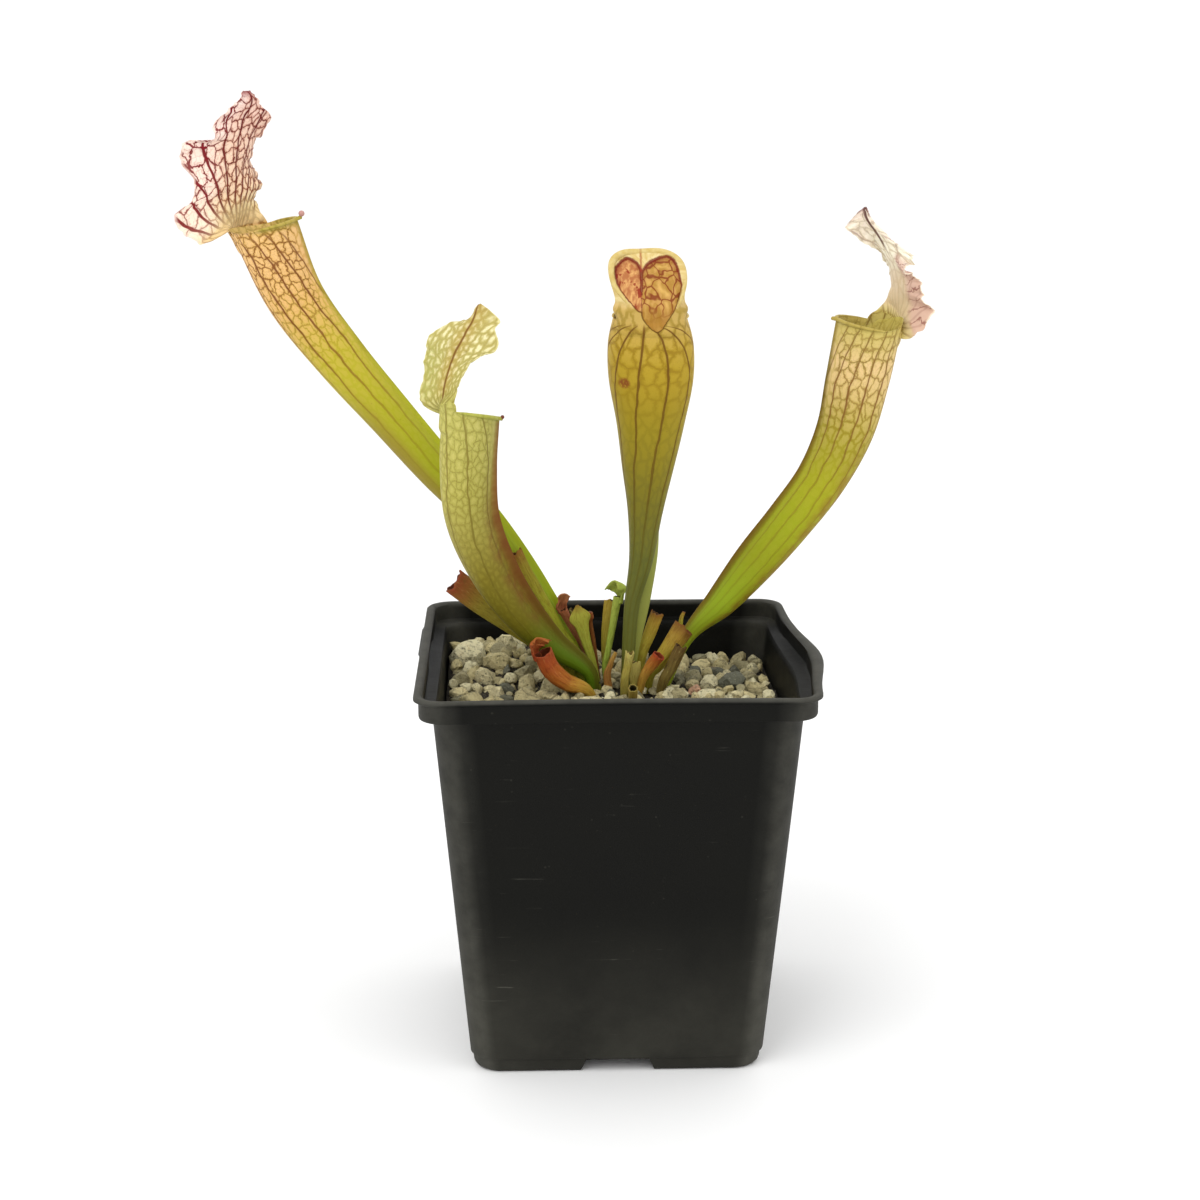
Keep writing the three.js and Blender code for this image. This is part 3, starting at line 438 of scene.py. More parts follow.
def pot_shape():
    """The pot's skin as one stack of rings: underside, foot, body, band, lip and inside."""
    body = [(BODY_BASE_HALF + (BODY_TOP_HALF - BODY_BASE_HALF) * share,
             BASE_STEP + (BAND_FOOT - BASE_STEP) * share) for share in np.linspace(0, 1, BODY_RINGS)]
    outside = [
        (BODY_BASE_HALF - FOOT_INSET, 0.0), (BODY_BASE_HALF - 1.4, 0.3), (BODY_BASE_HALF - 1.0, 0.9),
        (BODY_BASE_HALF - 0.8, 1.8), (BODY_BASE_HALF - 0.6, 3.6), (BODY_BASE_HALF - 0.5, 3.9),
        (BODY_BASE_HALF - 0.1, 4.05), *body[:-1],
        (BODY_TOP_HALF, BAND_FOOT - 0.4), (BODY_TOP_HALF + 0.3, BAND_FOOT - 0.05),
        (BAND_HALF - 0.8, BAND_FOOT), (BAND_HALF - 0.2, BAND_FOOT + 0.2),
        (BAND_HALF, BAND_FOOT + 0.8), (BAND_HALF, BAND_FOOT + 2.6),
        (BAND_HALF, POT_HEIGHT - WALL - 0.5), (BAND_HALF + 0.3, POT_HEIGHT - WALL - 0.15),
        (LIP_HALF - 0.3, POT_HEIGHT - WALL), (LIP_HALF, POT_HEIGHT - WALL + 0.25),
        (LIP_HALF, POT_HEIGHT - 0.4), (LIP_HALF - 0.35, POT_HEIGHT),
    ]
    inside = [
        (LIP_HALF - LIP_WIDTH, POT_HEIGHT), (BAND_HALF - WALL + 0.1, POT_HEIGHT - 0.5),
        (BAND_HALF - WALL, POT_HEIGHT - 1.2), (BAND_HALF - WALL, POT_HEIGHT - 2.0),
        (BAND_HALF - WALL, BAND_FOOT + WALL + 1.0), (BAND_HALF - WALL, BAND_FOOT + WALL + 0.4),
        (BAND_HALF - WALL - 0.5, BAND_FOOT + WALL), (BODY_TOP_HALF - WALL + 0.5, BAND_FOOT + WALL),
        (BODY_TOP_HALF - WALL, BAND_FOOT + 0.4), (BODY_TOP_HALF - WALL, BAND_FOOT - 1.0),
        *[(half - WALL, z) for half, z in body[-2:0:-1]],
        (BODY_BASE_HALF - WALL - 0.5, FLOOR_TOP + 1.0), (BODY_BASE_HALF - WALL - 1.5, FLOOR_TOP),
    ]
    rings = [pot_ring(half, z) for half, z in outside]
    rings += [pot_ring(half, z, CORNER_RADIUS - WALL) for half, z in inside]
    return np.concatenate([underside_rings()[::-1], rings])


def pocketed(points):
    """Moves the inner face of the two side walls out, for the long pocket above each ledge."""
    x, y, z = points[..., 0], points[..., 1], points[..., 2]
    inner = (np.maximum(np.abs(x), np.abs(y)) < BAND_HALF + SIDE_BULGE) & (z > BAND_FOOT + WALL)
    facing = inner & (z < POT_HEIGHT - 0.8)
    along = smooth(POCKET_LENGTH / 2 + 0.6, POCKET_LENGTH / 2, np.abs(y - POCKET_CENTRE))
    pocket = POCKET_DEPTH * along * facing * (np.abs(x) > BAND_HALF - 3.0)
    return points + np.stack([np.sign(x) * pocket, np.zeros_like(x), np.zeros_like(x)], axis=-1)


def pot_finish():
    """Black moulded plastic: fine grain, uneven gloss, thin sideways scuffs, a pale dusting on the
    foot, painted highlights on the corners and along the lip, and a few dried water specks."""
    black = Finish("black_nursery_plastic", Specular_IOR_Level=0.1)
    place = black.place()
    x, y, z = black.parts(place)
    grain = black.noise(place, 2600.0, 2.0)
    cloud = black.noise(place, 45.0, 5.0, 0.6)
    streaks = black.scaled(place, (60.0, 60.0, 1400.0))
    scuff = black.noise(streaks, 1.0, 3.0, 0.7).step(0.66, 0.74) * cloud.step(0.45, 0.7)
    specks = black.node("TexVoronoi", sockets={"Vector": place, "Scale": 420.0}, output="Distance")
    dots = specks.step(0.16, 0.08) * black.noise(place, 90.0, 2.0).step(0.55, 0.68)
    foot = z.step(0.05, 0.0) * 0.9
    # The edge value says where highlights are painted: along the lip, on the corners and on the rib.
    # The next line mixes it with the pale dust on the foot.
    edge = black.value("edge")
    dust_and_highlight = (foot * cloud + 0.95 * edge * black.noise(place, 300.0, 4.0)).most(0.3 * dots)
    # Painted highlight: a light grey line on the corners and along the lip.
    painted_edge_highlight = edge * black.noise(place, 180.0, 3.0)
    colour = black.painted("#080806", ("#10100c", cloud), ("#3f3e37", dust_and_highlight),
                           ("#5d5c54", 0.35 * scuff), ("#6a6962", 0.45 * painted_edge_highlight))
    height = black.bump(grain, 0.00012, 0.5)
    height = black.bump(cloud, 0.0009, 0.35, height)
    return black.wear(Base_Color=colour, Normal=height,
                      Roughness=0.42 + 0.22 * cloud + 0.15 * dust_and_highlight)


def bored(piece, cutter):
    """Cuts a piece with another one, which is then gone."""
    cut = piece.modifiers.new("cut", "BOOLEAN")
    cut.operation = "DIFFERENCE"
    cut.object = cutter
    depsgraph = bpy.context.evaluated_depsgraph_get()
    mesh = bpy.data.meshes.new_from_object(piece.evaluated_get(depsgraph))
    piece.modifiers.remove(cut)
    piece.data = mesh
    bpy.data.objects.remove(cutter)


def wall_rib():
    """The small upright rib on the inner face of the back wall, as a stack of narrow oblongs."""
    corners = np.array([[-1, -1], [1, -1], [1, 1], [-1, 1]]) * [RIB_WIDTH / 2, 0.6]
    back = BAND_HALF - WALL
    levels = [BAND_FOOT + WALL - 0.3, BAND_FOOT + WALL + 0.6, POT_HEIGHT - 1.6, POT_HEIGHT - 0.9]
    outward = [0.0, -0.3, -0.3, 0.2]
    rings = [np.column_stack([corners + [RIB_X, back + out], np.full(4, z)])
             for z, out in zip(levels, outward)]
    return capped(flexed(np.array(rings)))


pot_points = capped(pocketed(pot_shape()))
# Where highlights are painted on the pot: fully along the lip and more weakly on the corners.
pot_radial = np.minimum(np.abs(pot_points[..., 0]), np.abs(pot_points[..., 1]))
pot_corner = smooth(0.80, 0.93, pot_radial / np.maximum(np.abs(pot_points[..., :2]).max(-1), 1e-6))
pot_lip = smooth(POT_HEIGHT - 0.9, POT_HEIGHT - 0.2, pot_points[..., 2])
pot_highlight_edge = np.maximum(0.6 * pot_corner, pot_lip)
pot_grids = [closed_grid(pot_points, edge=pot_highlight_edge), closed_grid(wall_rib(), edge=0.2)]
pot = new_piece("nursery_pot", pot_grids, pot_finish(), ["pot"], crease=50)
for side in (-1, 1):
    for other in (-1, 1):
        bpy.ops.mesh.primitive_cylinder_add(
            vertices=48, radius=DRAIN_RADIUS * MM, depth=0.02,
            location=(side * DRAIN_OUT * MM, other * DRAIN_OUT * MM, 0.0))
        bored(pot, bpy.context.object)


# Soil
# Damp dark potting mix, which fills the pot up to the gravel and shows only through the drain
# holes.
def crumbly(name, shades, grain, shine, roughness, relief, flecks=None):
    """Rough earthy stuff: a noise of (scale, detail, roughness) chooses between three shades, is
    its relief in metres, and goes into its roughness of (least, added). Flecks of a colour and a
    strength show where a second noise of (scale, detail) steps up from one share to another."""
    earth = Finish(name, Specular_IOR_Level=shine)
    place = earth.place()
    crumb = earth.noise(place, *grain)
    colour = earth.ramp(crumb, list(zip((0.3, 0.55, 0.75), shades)))
    if flecks is not None:
        tone, strength, speckle, shares = flecks
        colour = earth.mix(colour, tone, strength * earth.noise(place, *speckle).step(*shares))
    least, added = roughness
    return earth.wear(Base_Color=colour, Roughness=least + added * crumb,
                      Normal=earth.bump(crumb, relief))


def repainted(node, material):
    """Gives a CAD node, which stays as it is, a finer material."""
    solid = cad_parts[node]
    solid.data.materials.clear()
    solid.data.materials.append(material)


PEAT_SHADES = ("#17100b", "#33241a", "#5a4532")
PEAT_FIBRES = ("#7d6547", 0.4, (160.0, 3.0), (0.62, 0.7))
peat = crumbly("potting_soil", PEAT_SHADES, grain=(700.0, 6.0, 0.7), shine=0.2,
               roughness=(0.85, 0.1), relief=0.0012, flecks=PEAT_FIBRES)
repainted("soil", peat)

# Rhizome
# The knotted stem that all the leaves grow from, with a few roots. Its skin is brown cork with
# darker hollows. The gravel hides it.
CORK_SHADES = ("#2d1c10", "#6a4728", "#a07c4c")
cork = crumbly("corky_rhizome", CORK_SHADES, grain=(320.0, 5.0, 0.65), shine=0.3,
               roughness=(0.7, 0.2), relief=0.001)
repainted("rhizome", cork)

# Gravel
# A thin top dressing of pumice and small stones, 3 to 9 mm across, on dark crumbly grit. It is
# heaped at the back left and lies lower and greyer at the right. Four stones that stand out have
# set places, given as x, y, half width and tone.
GRAVEL_LEVEL = 91.3
GRAVEL_MOUND = 5.5
MOUND_PLACE = (-30.0, 28.0)
MOUND_SPREAD = 22.0
GRAVEL_FOOT = 84.4
GRIT_SINK = 1.9
GRIT_RINGS = 70
GRIT_CRUMB = 0.6
GRIT_SHADES = ("#15120e", "#332d23", "#5d5442")
GRIT_SPECKS = ("#a39a80", 0.7, (1500.0, 2.0), (0.64, 0.7))
WALL_GAP = 0.4
STONE_TRIES = 7000
STONE_SIDES = 9
STONE_LAYERS = ((True, 0.0), (False, 2.1))
STONE_LOG_HALF = 0.95
STONE_LOG_SPREAD = 0.32
STONE_HALF_RANGE = (1.3, 4.4)
STONE_SPACING = 0.86
STONE_WARMTH = (1.0, 0.99, 0.85)
FEATURE_STONES = [(-39.0, 26.0, 5.6, 0.97), (-31.0, 18.0, 4.0, 0.7), (33.0, 12.0, 4.2, 0.03),
                  (-27.0, 33.0, 4.4, 0.9)]
CROWN_PLACE = (3.0, 9.5)
CROWN_REACH = (15.0, 6.5)
CROWN_STONE = 1.9


def gravel_level(x, y):
    """Height of the top dressing: the mound is a bell curve on a gently sloping plane."""
    away = np.hypot(x - MOUND_PLACE[0], y - MOUND_PLACE[1]) / MOUND_SPREAD
    return GRAVEL_LEVEL + GRAVEL_MOUND * np.exp(-away ** 2) - 0.02 * x - 0.01 * y


def inner_half(z):
    """Half the width between the pot's inner faces at a height."""
    share = (z - BASE_STEP) / (BAND_FOOT - BASE_STEP)
    return BODY_BASE_HALF + (BODY_TOP_HALF - BODY_BASE_HALF) * share - WALL - WALL_GAP


def grit_bed():
    """The dark bed under the stones: square rings that shrink to the middle, with a crumbly top.
    Its crumbs are random heights of the points, and its foot is flat."""
    draw = np.random.default_rng(7)
    shares = np.linspace(1.0, 0.01, GRIT_RINGS)
    outline = square_outline(inner_half(GRAVEL_LEVEL), CORNER_RADIUS - WALL)
    level = np.full((GRIT_RINGS, len(outline)), 90.0)
    flat = flexed(np.dstack([shares[:, None, None] * outline, level]))
    x, y = flat[..., 0], flat[..., 1]
    crumbs = draw.uniform(-GRIT_CRUMB, GRIT_CRUMB, x.shape) + draw.normal(0.0, 0.2, x.shape)
    top = np.stack([x, y, gravel_level(x, y) - GRIT_SINK + crumbs], axis=-1)
    foot = top[:1] * [1.0, 1.0, 0.0] + [0.0, 0.0, GRAVEL_FOOT]
    return capped(np.concatenate([foot * [0.97, 0.97, 1.0], top]))


def scattered(draw):
    """Middles and half widths of stones: the placed ones, then stones thrown one at a time in an
    upper layer and in a sunk one. Each is kept where it touches no earlier one of its layer, and
    none but small ones lie among the leaf bases."""
    kept = [(x, y, gravel_level(x, y) - 0.2 * size, size) for x, y, size, _ in FEATURE_STONES]
    for upper, sink in STONE_LAYERS:
        start = 0 if upper else len(kept)
        for _ in range(STONE_TRIES):
            x, y = draw.uniform(-inner_half(GRAVEL_LEVEL), inner_half(GRAVEL_LEVEL), 2)
            drawn = draw.lognormal(STONE_LOG_HALF, STONE_LOG_SPREAD)
            size = float(np.clip(drawn, *STONE_HALF_RANGE))
            edge = inner_half(GRAVEL_LEVEL - sink - size) - 0.85 * size
            crown = math.hypot((x - CROWN_PLACE[0]) / CROWN_REACH[0],
                               (y - CROWN_PLACE[1]) / CROWN_REACH[1])
            if max(abs(x), abs(y)) > edge or (crown < 1.0 and size > CROWN_STONE):
                continue
            near = np.array(kept[start:] or [(99.0, 99.0, 0.0, 0.0)])
            apart = np.hypot(near[:, 0] - x, near[:, 1] - y)
            if (apart - STONE_SPACING * (near[:, 3] + size)).min() > 0:
                kept.append((x, y, gravel_level(x, y) - sink - 0.35 * size, size))
    return np.array(kept)


def turned(draw, count):
    """Random rotation matrices, from random unit quaternions."""
    q = draw.normal(size=(count, 4))
    w, x, y, z = (q / np.linalg.norm(q, axis=1, keepdims=True)).T
    rows = [[1 - 2 * (y * y + z * z), 2 * (x * y - z * w), 2 * (x * z + y * w)],
            [2 * (x * y + z * w), 1 - 2 * (x * x + z * z), 2 * (y * z - x * w)],
            [2 * (x * z - y * w), 2 * (y * z + x * w), 1 - 2 * (x * x + y * y)]]
    return np.moveaxis(np.array(rows), -1, 0)


def stone_grids(draw, places):
    """Angular stones. Each is a ball whose points are pulled in to the nearest of a set of random
    planes, then stretched, turned and laid in its place."""
    ball = bmesh.new()
    bmesh.ops.create_icosphere(ball, subdivisions=2, radius=1.0)
    rays = np.array([vertex.co for vertex in ball.verts])
    faces = np.array([[vertex.index for vertex in face.verts] for face in ball.faces])
    ball.free()
    count = len(places)
    normals = draw.normal(size=(count, STONE_SIDES, 3))
    normals /= np.linalg.norm(normals, axis=-1, keepdims=True)
    reach = draw.uniform(0.55, 0.95, (count, STONE_SIDES, 1))
    toward = np.maximum(normals @ rays.T, 1e-3)
    radius = np.minimum((reach / toward).min(axis=1), 1.12)
    stretch = draw.uniform(0.78, 1.12, (count, 1, 3)) * [1.12, 1.0, 0.84]
    local = rays[None] * radius[..., None] * stretch
    local = np.einsum("sij,svj->svi", turned(draw, count), local)
    points = local * places[:, None, 3:4] + places[:, None, :3]
    return [{
        "place": stone, "faces": faces, "maps": {},
        "values": {"tint": np.full(len(rays), tint), "rank": np.full(len(rays), rank)},
    } for stone, tint, rank in zip(points, stone_tints(draw, places), draw.uniform(size=count))]


def stone_tints(draw, places):
    """A tone for each stone from 0, slate, to 1, cream. Slate is commoner at the right."""
    right = smooth(-10.0, 45.0, places[:, 0])
    tone = draw.uniform(0.0, 1.0, len(places))
    tone = np.clip(tone ** (0.7 + 0.45 * right), 0.0, 1.0)
    tone[:len(FEATURE_STONES)] = [shade for *_, shade in FEATURE_STONES]
    return tone


def stone_finish():
    """Weathered stones, each of its own tone: mottled, pitted with painted shade in the pits, and
    dusty, with a rare pink one.
    """
    stone = Finish("mixed_gravel", Specular_IOR_Level=0.25)
    place = stone.place()
    tone, rank = stone.value("tint"), stone.value("rank")
    mottle = stone.noise(place, 520.0, 5.0, 0.65)
    fine = stone.noise(place, 2400.0, 3.0, 0.7)
    pores = stone.node("TexVoronoi", sockets={"Vector": place, "Scale": 1300.0}, output="Distance")
    # The pits are the stones' pores. Their dark colour is painted shade in these hollows, and the
    # bump sinks them too.
    shaded_pits = pores.step(0.3, 0.1) * rank.step(0.25, 0.5)
    shades = [(0.0, "#565850"), (0.08, "#75756a"), (0.15, "#969078"), (0.42, "#b0a686"),
              (0.62, "#c6b991"), (0.8, "#d9cca5"), (1.0, "#e6dfc4")]
    colour = stone.painted(
        stone.ramp(tone, shades),
        ("#b98f5e", 0.45 * mottle.step(0.55, 0.75) * rank.step(0.5, 0.8)),
        ("#cf9682", 0.8 * rank.step(0.985, 0.99)), ("#5c5843", 0.65 * mottle.step(0.5, 0.32)),
        ("#3a382d", 0.6 * shaded_pits), ("#ece6d0", 0.35 * fine.step(0.55, 0.75)))
    height = stone.bump(mottle, 0.0022, 0.8)
    height = stone.bump(fine - 0.8 * shaded_pits, 0.0004, 0.8, height)
    return stone.wear(Base_Color=stone.scaled(colour, STONE_WARMTH), Roughness=0.72 + 0.2 * fine,
                      Normal=height)


grit = crumbly("dark_grit", GRIT_SHADES, grain=(900.0, 5.0, 0.7), shine=0.3,
               roughness=(0.75, 0.2), relief=0.0008, flecks=GRIT_SPECKS)
new_piece("gravel_grit", [closed_grid(grit_bed())], grit)
stone_draw = np.random.default_rng(19)
stone_places = scattered(stone_draw)
new_piece("gravel_stones", stone_grids(stone_draw, stone_places), stone_finish(),
          ["gravel"], crease=28)

# Tall left pitcher
# The tallest trap leans far to the left. Its trumpet is olive green below and peach above, under
# a net of brown-red veins, and its upright hood is pinkish white with sharp crimson veins.
TRAP_WALL = 0.8
TRAP_FLOOR = 0.5
CREST_WIDTH = 0.55
MOUTH_FROM = 0.78
SHOULDER_SPREAD = 0.85
LIP_ROLL = (-55.0, 205.0)
HOOD_HALF_THICKNESS = 0.28
HOOD_SINK = 0.35
HOOD_FREED_OVER = 4.0
HOOD_NET_START = 300.0
LEAST_HALF = 0.15
SEARCH_STEPS = 14
LINING_ROWS = 60
ROLL_ROWS = 15
PALM_ROOT = 4.0
PALM_ANGLE = 0.175


def smooth_path(stations, shares):
    """Points at shares from 0 to 1 of a uniform Catmull-Rom curve through the stations, with one
    more station mirrored past each end."""
    stations = np.asarray(stations, float)
    held = np.concatenate([[2 * stations[0] - stations[1]], stations,
                           [2 * stations[-1] - stations[-2]]])
    reach = np.clip(shares, 0.0, 1.0) * (len(stations) - 1)
    first = np.minimum(np.floor(reach).astype(int), len(stations) - 2)
    w = (reach - first)[..., None]
    a, b, c, d = (held[first + k] for k in range(4))
    return 0.5 * (2 * b + (c - a) * w + (2 * a - 5 * b + 4 * c - d) * w ** 2
                  + (3 * b - a - 3 * c + d) * w ** 3)


def unit(vectors):
    """The vectors at length 1."""
    return vectors / np.maximum(np.linalg.norm(vectors, axis=-1, keepdims=True), 1e-9)


def travelled(points):
    """How far along a row of points each one lies."""
    return np.concatenate([[0.0], np.cumsum(np.linalg.norm(np.diff(points, axis=0), axis=-1))])


def short_of_half(turn):
    """The same turn, counted from minus to plus half a round."""
    return (turn + math.pi) % (2 * math.pi) - math.pi


class Stalk:
    """The tube of a leaf, from stations of x, y, z, half width, half depth and wing height. The
    oval's depth points to its face, which turns slowly from the base to the top. The wing stands
    off the face by a twist, given for the base and for the top. Near the mouth the oval tips by
    so many mm at its face, at its side and all over, and its back rises as a bell curve, the
    shoulder. The hood's neck takes up a part of the mouth, given as the turn from the back to its
    edge. So many main veins go round the tube, of which those nearest the back are shown, and
    their arches start at a share, end at a share and leave a least part of their spacing."""

    def __init__(self, stations, base_face, face, tip=(0.0, 0.0, 0.0), twist=(0.0, 0.0),
                 shoulder=0.0, neck=0.0, veins=9, shown=None, arches=(0.8, 1.05, 0.35)):
        self.stations = np.array(stations, float)
        self.faces = np.array([base_face, face], float)
        self.tip = tip
        self.twist = twist
        self.shoulder = shoulder
        self.neck = neck
        self.veins = veins
        self.shown = veins / 2 if shown is None else shown
        self.arches = arches
        self.fine = np.linspace(0.0, 1.0, 400)
        self.run = travelled(smooth_path(self.stations[:, :3], self.fine))

    def axes(self, share):
        """The middle, and the directions along, to the face and across, at shares of the length."""
        path = self.stations[:, :3]
        middle = smooth_path(path, share)
        ahead = smooth_path(path, np.minimum(share + 1e-3, 1.0))
        along = unit(ahead - smooth_path(path, np.maximum(share - 1e-3, 0.0)))
        face = self.faces[0] + (self.faces[1] - self.faces[0]) * share[..., None]
        face = unit(face - along * (face * along).sum(-1, keepdims=True))
        return middle, along, face, np.cross(along, face)

    def wall(self, share, turn, out=0.0, up=0.0, crest=1.0, beak=0.0):
        """Points of the oval wall at turns from the wing, moved out and up. The wing is a narrow
        bell-shaped crest at turn 0."""
        share, turn, out, up = np.broadcast_arrays(*(np.asarray(v, float)
                                                     for v in (share, turn, out, up)))
        middle, along, face, across = self.axes(share)
        width, depth, wing = np.moveaxis(smooth_path(self.stations[:, 3:], share), -1, 0)
        off = short_of_half(turn)
        keel = crest * (wing + beak) * np.exp(-(off * np.maximum(width, 0.8) / CREST_WIDTH) ** 2)
        angle = turn + self.twist[0] + (self.twist[1] - self.twist[0]) * share
        front = (np.maximum(depth + out, LEAST_HALF) + keel) * np.cos(angle)
        side = (np.maximum(width + out, LEAST_HALF) + keel) * np.sin(angle)
        lift = self.lifted(share, turn, angle) + up
        return (middle + across * side[..., None] + face * front[..., None]
                + along * lift[..., None])

    def girth(self, share):
        """How far it is round the oval."""
        width, depth = np.moveaxis(smooth_path(self.stations[:, 3:5], share), -1, 0)
        return 2 * math.pi * np.sqrt((width ** 2 + depth ** 2) / 2)

    def length(self, share):
        """How far along the leaf a share of it lies."""
        return np.interp(share, self.fine, self.run)

    def lifted(self, share, turn, angle):
        """How far the tipping of the mouth and its risen back move a point along the tube."""
        tipped = self.tip[0] * np.cos(angle) + self.tip[1] * np.sin(angle) + self.tip[2]
        risen = self.shoulder * np.exp(-(short_of_half(turn - math.pi) / SHOULDER_SPREAD) ** 2)
        return (tipped + risen) * smooth(MOUTH_FROM, 1.0, share)

    def nearest(self, place):
        """The share and turn at which the wall passes each place, and how far beyond the mouth
        the place lies. The share is stepped by the distance along the tube that is still left."""
        share = np.full(place.shape[:-1], 0.95)
        for _ in range(SEARCH_STEPS):
            middle, along, face, across = self.axes(share)
            width, depth = np.moveaxis(smooth_path(self.stations[:, 3:5], share), -1, 0)
            local = place - middle
            angle = np.arctan2((local * across).sum(-1) / width, (local * face).sum(-1) / depth)
            turn = short_of_half(angle - self.twist[0] - (self.twist[1] - self.twist[0]) * share)
            ahead = (local * along).sum(-1) - self.lifted(share, turn, angle)
            share = np.clip(share + ahead / self.run[-1], 0.4, 1.0)
        return share, turn, np.where(share < 1.0, 0.0, np.maximum(ahead, 0.0))

    def vein_count(self, share, back):
        """Main veins counted from the back, how far apart they are in mm, and where there are
        any. Towards the mouth they draw together at the back in arches: their spacing falls
        with (1 - t^2)^0.7, t being how far a point is through the arches' reach."""
        start, end, least = self.arches
        t = np.clip((share - start) / (end - start), 0.0, 1.0)
        spread = least + (1.0 - least) * (1.0 - t ** 2) ** 0.7
        count = back * self.veins / (2 * math.pi) / spread
        there = smooth(self.shown + 0.6, self.shown - 0.2, np.abs(count))
        return count, self.girth(share) / self.veins * spread + 0.0 * back, there


def trumpet_grid(stalk, lip=0.7, beak=0.8, rows=190, columns=112):
    """The open trumpet as one closed grid: outer wall, lip rolled over as part of a circle, and
    inner wall down to the trap's floor. The roll leaves off where the hood's neck stands."""
    steps = np.linspace(0.0, 2 * math.pi, columns + 1)
    turn = (steps - 0.5 * np.sin(steps))[None]
    outer = np.linspace(0.0, 1.0, rows)[:, None]
    free = smooth(stalk.neck - 0.25, stalk.neck + 0.4, np.abs(turn - math.pi))
    roll = (0.1 + 0.9 * free) * (0.25 + 0.75 * np.cos(turn / 2) ** 2)
    swing = np.radians(np.linspace(*LIP_ROLL, ROLL_ROWS))[:, None]
    inner = np.linspace(1.0, TRAP_FLOOR, LINING_ROWS)[:, None]
    nib = beak * smooth(math.radians(185.0), math.radians(60.0), swing)
    curled = stalk.wall(1.0, turn, roll * (0.12 + lip * np.cos(swing)),
                        roll * (0.5 * lip + lip * np.sin(swing)), 1.0, nib)
    fade = smooth(0.0, 0.03, 1.0 - inner)
    lining = stalk.wall(inner, turn, -TRAP_WALL * np.maximum(fade, roll), 0.0, 0.0)
    points = np.concatenate([stalk.wall(outer, turn), curled, lining])
    share = np.concatenate([outer, np.ones_like(swing), inner])
    inside = np.concatenate([np.zeros_like(outer), smooth(60, 200, np.degrees(swing)),
                             np.ones_like(inner)])
    rolled = np.concatenate([smooth(0.991, 1.0, outer), np.ones_like(swing),
                             smooth(0.98, 1.0, inner)])
    back = turn - math.pi
    count, gap, there = stalk.vein_count(share, back)
    run = stalk.length(share) + 0.0 * turn
    around = back * stalk.girth(1.0) / (2 * math.pi) + 0.0 * share
    off = short_of_half(turn[:, :-1])
    maps = {"flow": np.stack([count, run], axis=-1), "net": np.stack([around, run], axis=-1)}
    return closed_poles(
        points[:, :-1], maps, along=share, inside=inside, rolled=rolled * free[:, :-1],
        crest=np.exp(-(off * np.maximum(stalk.girth(share) / 6.3, 0.8)) ** 2),
        front=0.5 + 0.5 * np.cos(turn[:, :-1]), gap=gap[:, :-1], side=0.0, arch=there[:, :-1])


def closed_poles(points, maps, **values):
    """A closed grid with its first and last rings drawn to a point each."""
    maps = {key: np.concatenate([pair[:1], pair, pair[-1:]]) for key, pair in maps.items()}
    shape = points.shape[:2]
    spread = {key: np.broadcast_to(value, shape) for key, value in values.items()}
    spread = {key: np.concatenate([v[:1], v, v[-1:]]) for key, v in spread.items()}
    return closed_grid(capped(points), maps, **spread)


def ruffle(share, waves, seed):
    """A soft random wave along a margin, from -1 to 1: four sines with drawn phases."""
    phases = np.random.default_rng(seed).uniform(0.0, 2 * math.pi, 4)
    pitches = waves * np.array([1.0, 1.7, 2.6, 4.3])
    weights = np.array([0.35, 0.3, 0.2, 0.15])
    angles = 2 * math.pi * pitches * np.asarray(share)[..., None] + phases
    return (weights * np.sin(angles)).sum(-1)


def clinging(stalk, sheet, side, run, below):
    """The sheet with its foot laid on the outside of the wall and its edges sunk in. With it, the
    share and turn of the wall at each point, and how far beyond the mouth the point lies."""
    along, turn, beyond = stalk.nearest(sheet)
    sunk = side ** 6 * smooth(below, 0.7 * below, run)
    risen = (HOOD_SINK + 0.3) * smooth(0.0, 0.3 * below, run) * (1.0 - sunk)
    clung = stalk.wall(along, turn, risen - HOOD_SINK, beyond)
    cling = smooth(below + 2.5, below - 0.5, run)[..., None]
    return sheet + cling * (clung - sheet), along, turn, beyond


def two_faced(sheet, side, share, frill):
    """Rings round both faces of the sheet, after the frill has moved it along its normals. Its
    half thickness falls with the cosine of the way to an edge, to the power 0.6."""
    across = np.gradient(sheet, axis=1) / np.gradient(side[0])[None, :, None]
    normal = unit(np.cross(np.gradient(sheet, axis=0), across))
    sheet = sheet + normal * frill[..., None]
    half = HOOD_HALF_THICKNESS * np.cos(np.arcsin(np.clip(side, -1, 1))) ** 0.6
    half = half * smooth(0.0, 0.04, share) ** 0.5 * smooth(1.0, 0.97, share) ** 0.5
    top, under = sheet + normal * half[..., None], sheet - normal * half[..., None]
    return np.concatenate([top, under[:, -2:0:-1]], axis=1)


